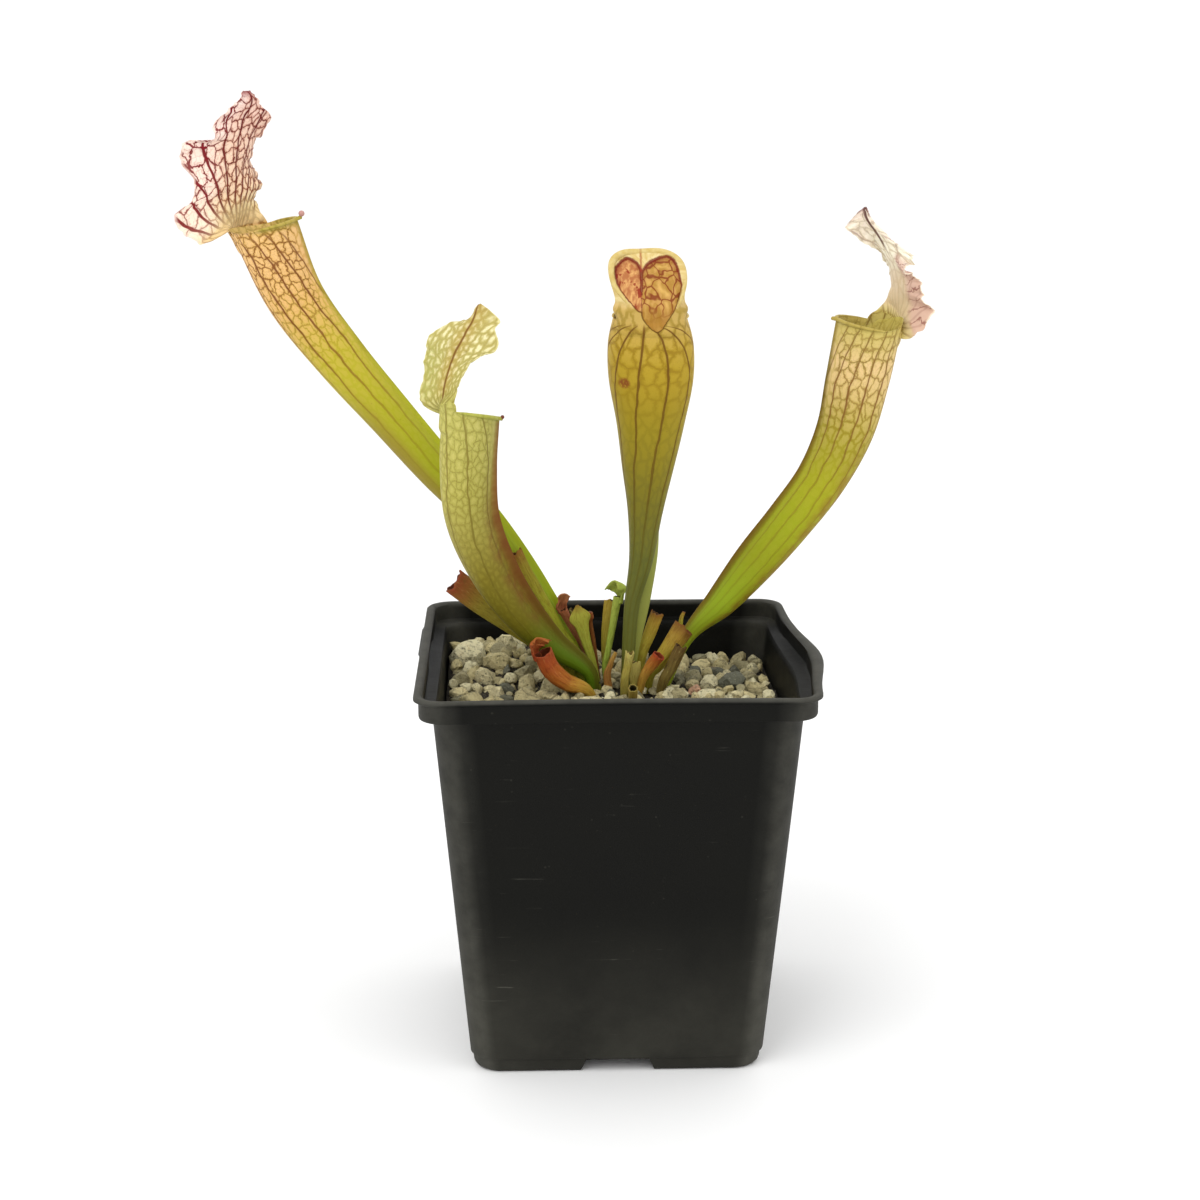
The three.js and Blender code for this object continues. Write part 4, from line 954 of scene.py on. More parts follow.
def hood_grid(stalk, near, middle, far, wave, bite, waves, seed=1, below=8.0, straight=False,
              calm=0.0, rows=150, columns=64):
    """The hood as one closed thin grid. Each row is the parabola through the near, middle and far
    rails. Its foot starts so many mm below the mouth and clings to the outside of the wall, with
    its edges sunk in. Its margin is scalloped by a bite and ruffled by a wave, but for a calm
    share of its far side. Its main veins spread like rays from near the mouth. On a straight hood
    they run on from the tube instead."""
    rails = (near, middle, far)
    feet = [stalk.wall(1.0 - below / stalk.run[-1], stalk.nearest(np.array(rail[0], float))[1])
            for rail in rails]
    share = np.linspace(0.0, 1.0, rows)[:, None]
    side = np.sin(np.linspace(-math.pi / 2, math.pi / 2, columns + 1))[None]
    low, mid, high = (smooth_path([foot, *rail], share[:, 0])[:, None]
                      for foot, rail in zip(feet, rails))
    notch = np.where(side < 0, ruffle(share, waves, seed), ruffle(share, waves, seed + 1))
    run = travelled(mid[:, 0])[:, None]
    freed = smooth(below, below + HOOD_FREED_OVER, run)
    lively = smooth(calm - 0.05, calm + 0.1, share) if calm else 1.0
    loose = freed * np.where(side > 0, lively, 1.0) * np.abs(side) ** 3
    reach = (side * (1.0 + bite * loose * notch))[..., None]
    sheet = mid + (high - low) / 2 * reach + ((high + low) / 2 - mid) * reach ** 2
    sheet, along, turn, beyond = clinging(stalk, sheet, side, run, below)
    frill = np.where(side < 0, ruffle(share + 0.3, waves, seed + 2),
                     ruffle(share + 0.6, waves, seed + 3))
    points = two_faced(sheet, side, share, wave * loose * frill)

    def both(values):
        """The values of a face, and again in reverse for the other face."""
        return np.concatenate([values, values[:, -2::-1]], axis=1)

    side, along, beyond = both(side), both(along), both(beyond)
    back = both(short_of_half(turn - math.pi))
    aside = side * (np.linalg.norm(high - low, axis=-1) / 2 + 1.0)
    palm = np.maximum(run - below, 0.0) + PALM_ROOT + 0.0 * aside
    count, gap, there = stalk.vein_count(along, back)
    length = stalk.length(along) + beyond
    free = run > below
    if not straight:
        gap = np.where(free, PALM_ANGLE * np.hypot(aside, palm), gap)
        there = np.where(free, 1.0, there)
    upward = np.clip((run - below) / (run[-1] - below), 0.0, 0.99)
    hood = closed_grid(
        points,
        {"flow": np.stack([np.arctan2(aside, palm) / PALM_ANGLE, palm], axis=-1),
         "net": np.stack([aside, run + HOOD_NET_START + 0.0 * aside], axis=-1)},
        along=np.where(free, 1.0 + upward, along)[:, :-1], inside=0.0, rolled=0.0, crest=0.0,
        front=0.5, gap=gap[:, :-1], side=side[:, :-1] * freed, arch=there[:, :-1])
    foot = np.repeat((run[1:, 0] <= below) | straight, 2 * columns)
    around = back * stalk.girth(1.0) / (2 * math.pi)
    tube = closed_grid(points, {"flow": np.stack([count, length], axis=-1),
                                "net": np.stack([around, length], axis=-1)})
    for key, pairs in tube["maps"].items():
        hood["maps"][key][foot] = pairs[foot]
    return hood


def cell_edges(leaf, flat, cell):
    """How far a point is from the edges of wandering cells of a size in mm, and from those of
    cells less than half as large, both in parts of a cell."""
    shift = leaf.shaken(flat, (2.4, 2.4, 0.0), flat, 0.28, 3.0)
    shift = leaf.shaken(shift, (1.1, 1.1, 0.0), flat, 1.1, 2.0)
    fitted = leaf.scaled(shift, (1.0 / cell[0], 1.0 / cell[1], 1.0))
    flat_cells = {"feature": "DISTANCE_TO_EDGE", "voronoi_dimensions": "2D"}
    edge = leaf.node("TexVoronoi", flat_cells, {"Vector": fitted, "Scale": 1.0, "Randomness": 0.85})
    return edge, leaf.node("TexVoronoi", flat_cells, {"Vector": fitted, "Scale": 2.3})


def pitcher_finish(name, flesh, window, vein, net, main, panes, cell, line, marks, wing, lip, inner,
                   rim=None, pane_edge=(0.05, 0.25), stray=0.5):
    """Living trumpet tissue. Colours and strengths run along the leaf, from 0 at the base over
    0.5 at the lip to 1 at the hood's tip: flesh, pale panes between the veins in cells of a size
    in mm, a fine net, and main veins of a half width in mm, all wandering a little. Marks add
    what only this leaf has, before its wing, its lip, its inside and its hood's rim."""
    leaf = Finish(name, Subsurface_Weight=0.04, Subsurface_Scale=0.001, Specular_IOR_Level=0.12,
                  Subsurface_Radius=(1.0, 0.7, 0.35))
    along = leaf.value("along") * 0.5
    inside, rolled = leaf.value("inside"), leaf.value("rolled")
    flow = leaf.node("UVMap", {"uv_map": "flow"})
    flat = leaf.node("UVMap", {"uv_map": "net"})
    edge, twig = cell_edges(leaf, flat, cell)
    grain = leaf.noise(flat, 3.5, 4.0, 0.65)
    cloud = leaf.noise(flat, 0.16, 3.0)
    swell = 0.4 + 1.2 * leaf.noise(flat, 0.45, 2.0)
    count = leaf.parts(flow)[0] + stray * (leaf.noise(flat, 0.11, 2.0) - 0.5)
    nearest = abs((count + 0.5).wrapped() - 0.5) * leaf.value("gap") / swell
    strength = leaf.level(along, main) * leaf.value("arch") * (0.8 + 0.4 * grain)
    main_line = nearest.step(line + 0.14, line - 0.04) * strength
    halo = nearest.step(0.9, 0.15) * strength
    thick = leaf.level(along, net) * leaf.value("front").step(0.985, 0.93)
    net_line = (edge / swell).step(0.09, 0.025) * thick * (0.6 + 0.8 * cloud)
    twig_line = twig.step(0.07, 0.015) * thick * 0.3
    lines = twig_line.most(net_line).most(main_line)
    pane = edge.step(*pane_edge) * leaf.level(along, panes) * (0.7 + 0.6 * grain)
    vein_tone = leaf.ramp(along, vein)
    colour = leaf.painted(leaf.ramp(along, flesh), (leaf.ramp(along, window), pane),
                          (vein_tone, 0.2 * halo), (vein_tone, lines))
    colour = marks(leaf, colour, along, flat, lines)
    colour = leaf.painted(colour, (leaf.ramp(along, wing), leaf.value("crest") * 0.9),
                          (inner, 0.6 * inside * (1.0 - rolled)), (lip, 0.8 * rolled))
    if rim is not None:
        colour = leaf.mix(colour, rim, 0.75 * abs(leaf.value("side")).step(0.95, 0.998))
    speck = leaf.noise(leaf.place(), 1700.0, 2.0).step(0.7, 0.76)
    colour = leaf.mix(colour, "#6b4a1e", 0.35 * speck)
    raised = leaf.bump(lines, 0.0002, 0.8)
    raised = leaf.bump(grain, 0.0001, 0.5, raised)
    return leaf.wear(Base_Color=colour, Roughness=0.42 + 0.16 * grain + 0.1 * main_line,
                     Normal=raised)


UNVEINED = {"inside": 0.0, "crest": 0.0, "front": 0.5, "gap": 1.0, "side": 0.0, "arch": 0.0}


def ball_grid(middle, radius, **values):
    """A small ball with poles at top and bottom, which carries the same maps as a trumpet."""
    polar = np.linspace(0.0, math.pi, 17)[1:-1, None]
    turn = np.linspace(0.0, 2 * math.pi, 25)[None, :-1]
    points = np.stack([np.sin(polar) * np.cos(turn), np.sin(polar) * np.sin(turn),
                       np.cos(polar) + 0.0 * turn], axis=-1) * radius + middle
    blank = np.zeros((len(polar), 25, 2))
    return closed_poles(points, {"flow": blank, "net": blank}, **UNVEINED, **values)


tall_left = Stalk([
    [-7.5, 13, 85, 1.4, 1.1, 0.3],
    [-10, 14.5, 98.5, 2.1, 1.7, 1],
    [-20.5, 16.5, 116.5, 2.9, 2.5, 1.4],
    [-32.5, 17.5, 133, 3.9, 3.5, 1.5],
    [-46, 18.5, 148, 5.2, 4.8, 1.3],
    [-59, 19.5, 163.5, 6, 5.6, 1],
    [-72, 21, 179, 6.9, 6.5, 0.8],
    [-83.5, 22.5, 195, 7.8, 7.4, 0.6],
    [-91, 24, 213, 9, 8.6, 0.5],
], base_face=[0.7, -0.6, 0.4], face=[0.87, -0.5, 0.3], tip=(-1.8, 0.0, 0.0), twist=(0.7, 0.35),
    shoulder=1.5, neck=1.5, veins=10, arches=(0.8, 1.04, 0.45))


def tall_left_marks(leaf, colour, along, flat, lines):
    """A tan-brown underside on the middle of the tube, a pale cream neck, whiter panes and
    stronger crimson veins in the left lobes of the hood, and a dark red tip."""
    under = along.band(0.1, 0.2, 0.28, 0.37) * leaf.value("front").step(0.62, 0.2)
    neck = abs(leaf.value("side")).step(0.75, 0.4) * along.band(0.5, 0.51, 0.54, 0.61)
    lobes = leaf.value("side").step(-0.2, -0.75) * along.step(0.53, 0.57)
    return leaf.painted(
        colour, ("#8c752a", 0.75 * under), ("#e6cd98", 0.5 * neck),
        ("#ffe9e2", 0.5 * lobes * (1.0 - lines)), ("#7d1220", 0.8 * lobes * lines),
        ("#7f2a30", 0.85 * along.step(0.965, 1.0)))


tall_left_finish = pitcher_finish(
    "tall_left_tissue",
    flesh=[(0.0, "#75890f"), (0.14, "#869a16"), (0.25, "#9a9f1d"), (0.32, "#a6a224"),
           (0.38, "#b3a62d"), (0.43, "#c8a34e"), (0.47, "#d1a25e"), (0.5, "#c79d50"),
           (0.54, "#d6b87c"), (0.62, "#d2a37c"), (0.75, "#d7a48a"), (1.0, "#cb8d7c")],
    window=[(0.0, "#869a16"), (0.3, "#b2a83a"), (0.38, "#cdae58"), (0.43, "#e0b271"),
            (0.5, "#e4ba7e"), (0.56, "#efdaa8"), (0.65, "#f4d5b6"), (1.0, "#f6d3c6")],
    vein=[(0.0, "#6d7a14"), (0.25, "#7c6a12"), (0.34, "#7c4c12"), (0.42, "#6b300e"),
          (0.5, "#6b3410"), (0.56, "#6b3216"), (0.64, "#691c14"), (1.0, "#660d16")],
    net=[(0.36, 0.0), (0.41, 0.35), (0.46, 0.75), (0.5, 0.7), (0.55, 0.35), (0.64, 0.85),
         (1.0, 0.95)],
    main=[(0.1, 0.1), (0.3, 0.35), (0.42, 0.85), (0.485, 0.85), (0.5, 0.5), (0.53, 0.6),
          (0.6, 0.95), (1.0, 1.0)],
    panes=[(0.1, 0.1), (0.36, 0.25), (0.45, 0.9), (1.0, 0.9)],
    cell=(2.2, 2.9), line=0.2, marks=tall_left_marks,
    wing=[(0.0, "#93a51c"), (0.25, "#a9b026"), (0.42, "#9d9130"), (0.5, "#8d7a2c")],
    lip="#a1963c", inner="#cbb265", rim="#f0d2c4")
tall_left_hood = hood_grid(
    tall_left,
    near=[[-98.7, 21, 212.1], [-106.5, 21, 209.1], [-111.7, 21, 211.6],
          [-113.8, 22, 216.5], [-109.7, 24, 219.7], [-109, 25, 224.5], [-112.1, 24, 231],
          [-110.5, 24, 235.1], [-103.9, 26, 235.2], [-103.1, 27, 239.8], [-99, 29, 243.8],
          [-97.3, 30, 245.3], [-95.8, 31, 247.8]],
    middle=[[-98.8, 28.5, 212.2], [-98.8, 29, 215.3], [-98.8, 29, 218.3],
            [-98.9, 29.5, 221.2], [-98.8, 30, 224.2], [-98.8, 30.5, 227.7], [-98.4, 31, 231.2],
            [-98, 31.5, 234.1], [-97.5, 32, 237], [-96.5, 32.5, 240.5], [-94.8, 33, 243.4],
            [-94, 32.5, 245.8], [-95, 32, 247.8]],
    far=[[-91, 33.5, 213.5], [-93.6, 35, 217.2], [-94.5, 37, 220.1],
         [-93, 39, 222.9], [-94.1, 41, 225.8], [-95.6, 41.5, 227.9], [-95.6, 41.5, 231.2],
         [-94.5, 41, 234.4], [-92.2, 40, 236.6], [-89.7, 38.5, 240.5], [-91.3, 36.5, 243.3],
         [-93, 34.5, 245.7], [-94.2, 32.5, 247.8]],
    wave=0.7, bite=0.03, waves=8.0, seed=3)
tall_left_knob = ball_grid(tall_left.wall(1.0, 0.0, 0.3, 1.1, beak=1.4), 0.8, along=1.975,
                           rolled=0.0)
new_piece("tall_left_pitcher",
          [trumpet_grid(tall_left, lip=0.55), tall_left_hood, tall_left_knob],
          tall_left_finish, ["pitcher_tall_left"])

# Front left pitcher
# A shorter, pale trap before the crown. It is yellow-green with olive veins and whitish spots in
# the hood, with a brown midrib and a red-brown wing down its right side.
front_left = Stalk([
    [-5, 7.5, 85, 1.3, 1, 0.3],
    [-6.5, 5.5, 96, 2, 1.6, 0.8],
    [-17, 3.5, 105, 4.4, 3.2, 1.4],
    [-26, 0.5, 116, 6.3, 4.4, 1.8],
    [-33, -2, 128, 7.1, 5.4, 2],
    [-37.5, -4.5, 141, 7.2, 6.2, 1.8],
    [-38, -7.5, 155, 7.3, 6.8, 1.2],
    [-37, -10, 168.5, 7.2, 7, 0.8],
], base_face=[0.6, -0.6, 0.5], face=[1, -0.1, 0], tip=(-0.2, -2.9, -0.2), twist=(0.4, 0.0),
    shoulder=2.5, neck=1.2, veins=7, arches=(0.8, 1.05, 0.6))


def midrib(leaf, colour, flat, tone, reach, half):
    """A dark line up the middle of the back and of the hood, of a half width in mm, as strong as
    the reach says. It wanders a little."""
    aside = leaf.parts(flat)[0] + 0.8 * leaf.noise(flat, 0.2, 2.0) - 0.4
    share = abs(aside).step(half + 0.35, half - 0.1) * reach
    return leaf.mix(colour, tone, 0.85 * share)


def front_left_marks(leaf, colour, along, flat, lines):
    """Soft red-brown patches beside the wing on the middle of the tube, a fresh green base, a tan
    glow along the middle of the hood and green mottling on its far side, a brown midrib, and a
    purple-brown beak at the tip."""
    side = leaf.value("front").step(0.78, 0.99) * along.band(0.15, 0.22, 0.3, 0.46)
    blotch = leaf.noise(flat, 0.22, 4.0).step(0.35, 0.62)
    fresh = along.step(0.2, 0.08) * leaf.value("front").step(0.995, 0.8)
    glow = abs(leaf.parts(flat)[0]).step(4.5, 0.5) * along.step(0.5, 0.62)
    green = leaf.value("side").step(0.1, 0.8) * along.band(0.52, 0.6, 0.7, 0.86)
    mottle = leaf.noise(flat, 1.1, 4.0).step(0.3, 0.6)
    colour = leaf.painted(
        colour, ("#74401c", side * (0.05 + 0.6 * blotch)), ("#55740f", 0.65 * fresh),
        ("#ad8a3c", 0.4 * glow), ("#a9ad5c", 0.45 * green * mottle))
    colour = midrib(leaf, colour, flat, "#6f4310", along.step(0.44, 0.56), 0.25)
    return leaf.mix(colour, "#6e3a2e", along.step(0.9965, 0.9995))


front_left_finish = pitcher_finish(
    "front_left_tissue",
    flesh=[(0.0, "#46560a"), (0.07, "#4a5e08"), (0.14, "#58650d"), (0.2, "#6f6618"),
           (0.28, "#7f7224"), (0.357, "#9f9544"), (0.4, "#a8a04a"), (0.5, "#b3ad5a"),
           (0.56, "#b0a458"), (0.75, "#b3a862"), (0.94, "#b3a55f"), (1.0, "#a58f50")],
    window=[(0.0, "#4f6a0a"), (0.2, "#857c24"), (0.3, "#a3983c"), (0.4, "#c0b762"),
            (0.5, "#c3bb6c"), (0.58, "#dcd296"), (0.8, "#ebe3b4"), (1.0, "#ddd49c")],
    vein=[(0.0, "#4d560c"), (0.25, "#6d5f1a"), (0.42, "#7a6a26"), (0.5, "#857a34"),
          (0.6, "#948a44"), (1.0, "#8a6a34")],
    net=[(0.26, 0.1), (0.34, 0.25), (0.45, 0.42), (0.7, 0.3), (1.0, 0.2)],
    main=[(0.1, 0.2), (0.3, 0.6), (0.5, 0.85), (0.58, 0.35), (0.9, 0.2), (1.0, 0.0)],
    panes=[(0.1, 0.1), (0.32, 0.4), (0.45, 0.7), (0.56, 0.85), (0.9, 0.8), (1.0, 0.7)],
    cell=(1.9, 2.3), line=0.17, pane_edge=(0.1, 0.42), marks=front_left_marks,
    wing=[(0.0, "#4f5a12"), (0.13, "#5f5218"), (0.25, "#6e3e18"), (0.4, "#7e4520"),
          (0.5, "#7a5434")],
    lip="#a3a548", inner="#a9ac50", rim="#ddd69a")
front_left_hood = hood_grid(
    front_left,
    near=[[-39.8, -16.2, 171.2], [-39.6, -15.6, 173.3], [-39.7, -14.9, 175.7],
          [-38.8, -14.5, 178.2], [-37.3, -14.5, 181], [-35.2, -14.5, 183.3],
          [-32.7, -14.5, 184.7], [-30, -14.5, 185.3], [-29.4, -13.5, 188.1],
          [-30.1, -12.5, 190.7], [-28.9, -11.5, 192.5], [-31.2, -10, 195], [-33.8, -9, 196.7]],
    middle=[[-44.1, -10.5, 168.9], [-43.7, -10.5, 171.3],
            [-43.3, -10.5, 173.4], [-42.9, -10.5, 175.9], [-42.3, -10.5, 178.5],
            [-41.6, -10.5, 180.8], [-40.7, -10.5, 183.1], [-39.7, -10.5, 185.4],
            [-38.6, -10.5, 187.3], [-37.3, -10, 189.6], [-36, -9.5, 191.8], [-35, -9, 194.1],
            [-34.2, -8.5, 196.5]],
    far=[[-44.2, -6, 169.9], [-46.9, -5, 168.7], [-49, -4, 170.2],
         [-49.7, -3, 173.1], [-48.7, -3, 177.4], [-48.4, -3, 181.2], [-47.9, -3.5, 183.9],
         [-47.6, -4, 186.7], [-45.5, -4.5, 189.3], [-41.6, -5.5, 191.5], [-38.2, -6.5, 192.1],
         [-35.8, -7.5, 193.2], [-34.5, -8, 196.4]],
    wave=0.35, bite=0.015, waves=6.0, seed=11)
front_left_beak = ball_grid(front_left.wall(1.0, 0.0, 0.3, 0.8, beak=0.4), 0.5, along=2.0,
                            rolled=0.0)
new_piece("front_left_pitcher",
          [trumpet_grid(front_left, lip=0.6, beak=0.2), front_left_hood,
           front_left_beak], front_left_finish, ["pitcher_front_left"])

# Centre pitcher
# This trap turns its back to the viewer. Long brown veins run up its golden tube and arch
# together under the hood, whose pale rolled margin frames a crimson-edged heart.
centre = Stalk([
    [3.5, 9.5, 85, 1.5, 1.2, 0.3],
    [4.5, 8, 101, 1.9, 1.7, 1.6],
    [5.3, 6, 114.5, 2.1, 2, 4],
    [7.6, 4, 127.5, 3.4, 3, 3],
    [8.5, 2, 140.5, 4.8, 4.3, 1.6],
    [9, 0, 153, 7, 6.2, 1.2],
    [9.5, -2, 165, 9, 8, 0.9],
    [9.5, -4, 176.5, 11, 9.6, 0.7],
    [9.3, -6, 186, 11, 9.6, 0.5],
    [9, -7.5, 193, 9.4, 8.4, 0.5],
], base_face=[0.93, 0.37, 0], face=[0.2, 0.98, 0.1], tip=(-1.5, 0.0, 0.0), neck=1.4, veins=9,
    shown=3.2, arches=(0.76, 0.985, 0.26))
SPOT_PLACE = (2.4, 176.7)
HEART_LEFT = [[0.2, 205.7], [2.8, 207.7], [5.2, 206.9], [6.4, 205.1], [6.4, 201.6],
              [6.2, 195.5], [3.6, 197.6], [1.2, 200.6], [0.1, 203.7]]
HEART_RIGHT = [[6.8, 204.6], [8.1, 206.3], [10.3, 207.5], [13, 208.1], [14.8, 207.4],
               [15.9, 204.7], [16.6, 200.5], [15.2, 196.6], [13.3, 193.4], [10.5, 190.2],
               [7.2, 192.9], [6.4, 195.5], [6.6, 200]]


def inside_by(place, outline):
    """How far inside a smooth closed outline in X and Z each point lies, less than 0 outside: the
    distance to its nearest point, with the sign from how often a line to one side crosses it."""
    ring = smooth_path([*outline, outline[0]], np.linspace(0.0, 1.0, 201))
    start, end = ring[:-1], ring[1:]
    x, z = place[:, 0, None], place[:, 2, None]
    away = np.hypot(x - start[:, 0], z - start[:, 1]).min(axis=1)
    spans = (start[:, 1] > z) != (end[:, 1] > z)
    slope = (end[:, 0] - start[:, 0]) / (end[:, 1] - start[:, 1] + 1e-9)
    crossed = spans & (x < start[:, 0] + slope * (z - start[:, 1]))
    return np.where(crossed.sum(axis=1) % 2 == 1, away, -away)


def heart_tissue(leaf, place, x, z):
    """The flesh of the heart: pinkish with red dashes left of its cleft, and tan with a red-brown
    net right of it. Both turn brown at the foot."""
    left = x.step(0.0069, 0.0062)
    right = 1.0 - left
    bent = leaf.shaken(place, (0.004, 0.004, 0.004), place, 190.0, 2.0)
    drawn = leaf.scaled(bent, (330.0, 330.0, 210.0))
    cells = leaf.node("TexVoronoi", {"feature": "DISTANCE_TO_EDGE"}, {"Vector": drawn, "Scale": 1.0})
    streak = leaf.scaled(place, (1100.0, 1100.0, 210.0))
    dash = leaf.noise(streak, 0.7, 2.0).step(0.56, 0.63)
    light = leaf.noise(streak, 0.6, 3.0).step(0.4, 0.65)
    webs = cells.step(0.075, 0.02) * right * z.step(0.1915, 0.197)
    return leaf.painted(
        "#a67c34", ("#a8683c", left), ("#d9a867", light * (0.4 + 0.45 * left)),
        ("#d6ae60", cells.step(0.1, 0.4) * 0.7 * right), ("#75280e", 0.85 * webs),
        ("#841a0c", 0.85 * dash * left), ("#9a6a1c", 0.6 * z.step(0.198, 0.192)))


def centre_marks(leaf, colour, along, flat, lines):
    """Grey-green shade on the lower tube, a brown spot on its back, the pale margin of the hood,
    and the heart in it with its dark edge, which is partly a painted shadow of the curled margin,
    its painted red-brown shade near the top and its cleft."""
    place = leaf.place()
    x, y, z = leaf.parts(place)
    back = leaf.value("facing")
    wide, tall = (x - SPOT_PLACE[0] * MM) / MM, (z - SPOT_PLACE[1] * MM) / MM
    spot = (wide * wide + tall * tall).step(3.2, 0.4) * back
    cream = leaf.mix("#c3a65c", "#dcc992", leaf.noise(flat, 0.5, 4.0).step(0.3, 0.7))
    rough = leaf.noise(place, 1100.0, 3.0) - 0.5
    heart = leaf.value("heart") + 0.5 * rough
    # Painted shade: red-brown under the margin at the top of the lobes. The heart's dark edge is
    # partly a painted shadow of the curled margin.
    painted_shade = abs(heart).step(1.4, 0.2) * z.step(0.199, 0.206) * heart.step(-0.3, 0.1)
    rim = abs(heart / (0.6 + 0.7 * z.step(0.198, 0.2065))).step(0.42, 0.16)
    edge_and_shadow_tone = leaf.mix("#5e3c0a", "#6a1006", z.step(0.193, 0.199))
    cleft = abs(x + 0.0006 * rough - 0.0066).step(0.0004, 0.00015) * z.step(0.2042, 0.2052)
    return leaf.painted(
        colour, ("#5f6a2c", 0.45 * along.step(0.34, 0.2) * leaf.noise(flat, 0.2)),
        ("#7a3418", 0.85 * spot * leaf.noise(place, 1500.0, 4.0).step(0.3, 0.5)),
        (cream, back * z.step(0.1955, 0.1985)),
        (heart_tissue(leaf, place, x, z), back * heart.step(-0.05, 0.15)),
        ("#76260c", 0.6 * back * painted_shade), (edge_and_shadow_tone, 0.85 * back * rim),
        ("#96301c", 0.6 * back * cleft))


centre_finish = pitcher_finish(
    "centre_tissue",
    flesh=[(0.0, "#6b6c2c"), (0.11, "#6c6f38"), (0.167, "#6b6c33"), (0.222, "#7a7029"),
           (0.278, "#857721"), (0.333, "#907f1d"), (0.389, "#9b811b"), (0.444, "#a1841f"),
           (0.5, "#a3883a"), (0.56, "#b59552"), (0.8, "#c9a766"), (1.0, "#d0b87c")],
    window=[(0.0, "#808628"), (0.3, "#a08f22"), (0.42, "#b2972c"), (0.48, "#bf9f4c"),
            (0.56, "#d2b47a"), (1.0, "#e3cd94")],
    vein=[(0.0, "#5f6018"), (0.25, "#6b5212"), (0.42, "#6b4810"), (0.55, "#75501c"),
          (1.0, "#8a5a2a")],
    net=[(0.36, 0.05), (0.42, 0.2), (0.475, 0.35), (0.495, 0.25), (0.5, 0.0)],
    main=[(0.12, 0.3), (0.25, 0.85), (0.487, 0.95), (0.4985, 0.0)],
    panes=[(0.1, 0.1), (0.35, 0.35), (0.45, 0.8), (1.0, 0.8)],
    cell=(3.0, 4.2), line=0.2, stray=0.25, marks=centre_marks,
    wing=[(0.0, "#9fa552"), (0.2, "#a3a852"), (0.35, "#979a40"), (0.5, "#8f8f34")],
    lip="#c2ac64", inner="#c4a75c")
centre_hood = hood_grid(
    centre,
    near=[[-0.4, -10, 191], [-0.6, -10, 195], [0, -11, 198],
          [-1.5, -10, 204], [0, -7, 208], [3.5, -5, 209.5]],
    middle=[[9.3, -16.6, 191], [9, -16.9, 195], [8.5, -15.5, 198.5],
            [8, -11, 204], [7, -6, 208.5], [7, -4, 209.7]],
    far=[[18.8, -10, 191], [18.6, -10, 195], [17.5, -11, 198],
         [18, -10, 204], [16, -7, 207.5], [11.5, -5, 209.5]],
    wave=0.0, bite=0.0, waves=3.0, below=7.0, straight=True)


def bead_grid(points, radius, rows=150, columns=18, **values):
    """A round bead along a smooth path, which thins from a radius to none at both of its ends,
    with the same maps as a trumpet."""
    thin = np.sin(np.linspace(0.12, math.pi - 0.12, len(points))) ** 0.5 * radius
    stations = [[*point, size, size, 0.0] for point, size in zip(points, thin)]
    bead = Stalk(stations, [0, -1, 0.02], [0, -1, 0.02])
    share = np.linspace(0.0, 1.0, rows)[:, None]
    turn = np.linspace(0.0, 2 * math.pi, columns + 1)[None]
    walls = bead.wall(share, turn[:, :-1])
    run = bead.length(share) + 0.0 * turn
    pair = np.stack([turn + 0.0 * share, run], axis=-1)
    return closed_poles(walls, {"flow": pair, "net": pair}, **UNVEINED, **values)


margin_bead = bead_grid([
    [5, -15.4, 195.2], [2.2, -13, 198.4], [-0.1, -11, 201.5], [-0.9, -10, 205.1],
    [-0.2, -8, 207.6], [2.4, -6.2, 208.9], [6.6, -5, 209], [11.4, -5, 209.1],
    [14.8, -6, 208.1], [16.9, -7.7, 206], [17.5, -10, 202.5], [16.6, -12.5, 198.6],
    [15.2, -14.4, 195.8],
], 0.95, along=1.0, rolled=0.6)
centre_grids = [trumpet_grid(centre), centre_hood, margin_bead]
for grid in centre_grids:
    place = grid["place"]
    grid["values"]["heart"] = np.maximum(inside_by(place, HEART_LEFT), inside_by(place, HEART_RIGHT))
    grid["values"]["facing"] = smooth(-2.5, -4.5, place[:, 1])
new_piece("centre_pitcher", centre_grids, centre_finish, ["pitcher_centre"])

# Right pitcher
# A trap that leans right, with its mouth to the left. Its tube runs from lime green to peach,
# and its hood is a narrow cream neck with two torn, curled, pinkish lobes.
right = Stalk([
    [13, 13.5, 85, 1.3, 1, 0.3],
    [21, 18, 101.5, 1.8, 1.5, 0.6],
    [31, 18.5, 112, 4.3, 3.2, 1.2],
    [40, 19, 123, 6.2, 4.2, 1.3],
    [49, 19.5, 134, 6.7, 5, 1.2],
    [57.5, 20.5, 145.5, 6.9, 6, 1],
    [63.5, 21, 158.5, 7.8, 7.2, 0.8],
    [66.5, 21.5, 172, 8.7, 8.2, 0.6],
    [69, 22, 186, 9, 8.6, 0.5],
], base_face=[-0.6, -0.6, 0.5], face=[-0.87, -0.5, 0], tip=(-0.3, -0.6, 0.8),
    twist=(-0.8, -0.4), shoulder=3.5, neck=1.3, veins=12, arches=(0.8, 1.08, 0.5))


def right_marks(leaf, colour, along, flat, lines):
    """A brown underside low on the tube, a pinkish near lobe with crimson veins, a dark tip, and
    a dark midrib on the upper half of the hood."""
    low = along.band(0.05, 0.12, 0.3, 0.4) * leaf.value("front").step(0.5, 0.15)
    patchy = leaf.noise(flat, 0.25).step(0.25, 0.6)
    lobe = leaf.value("side").step(-0.3, -0.6) * along.band(0.5, 0.54, 0.76, 0.82)
    u, v, _ = leaf.parts(flat)
    slanted = 0.45 * v + 0.2 * u + 2.0 * (leaf.noise(flat, 0.35, 3.0) - 0.5)
    web = abs(slanted.wrapped() - 0.5).step(0.09, 0.03)
    colour = leaf.painted(
        colour, ("#8a6420", 0.75 * low * patchy), ("#cda598", 0.7 * lobe),
        ("#6e1814", 0.8 * lobe * lines.most(0.8 * web)), ("#5d2b2c", 0.85 * along.step(0.98, 0.996)))
    return midrib(leaf, colour, flat, "#552722", along.step(0.79, 0.84), 0.4)


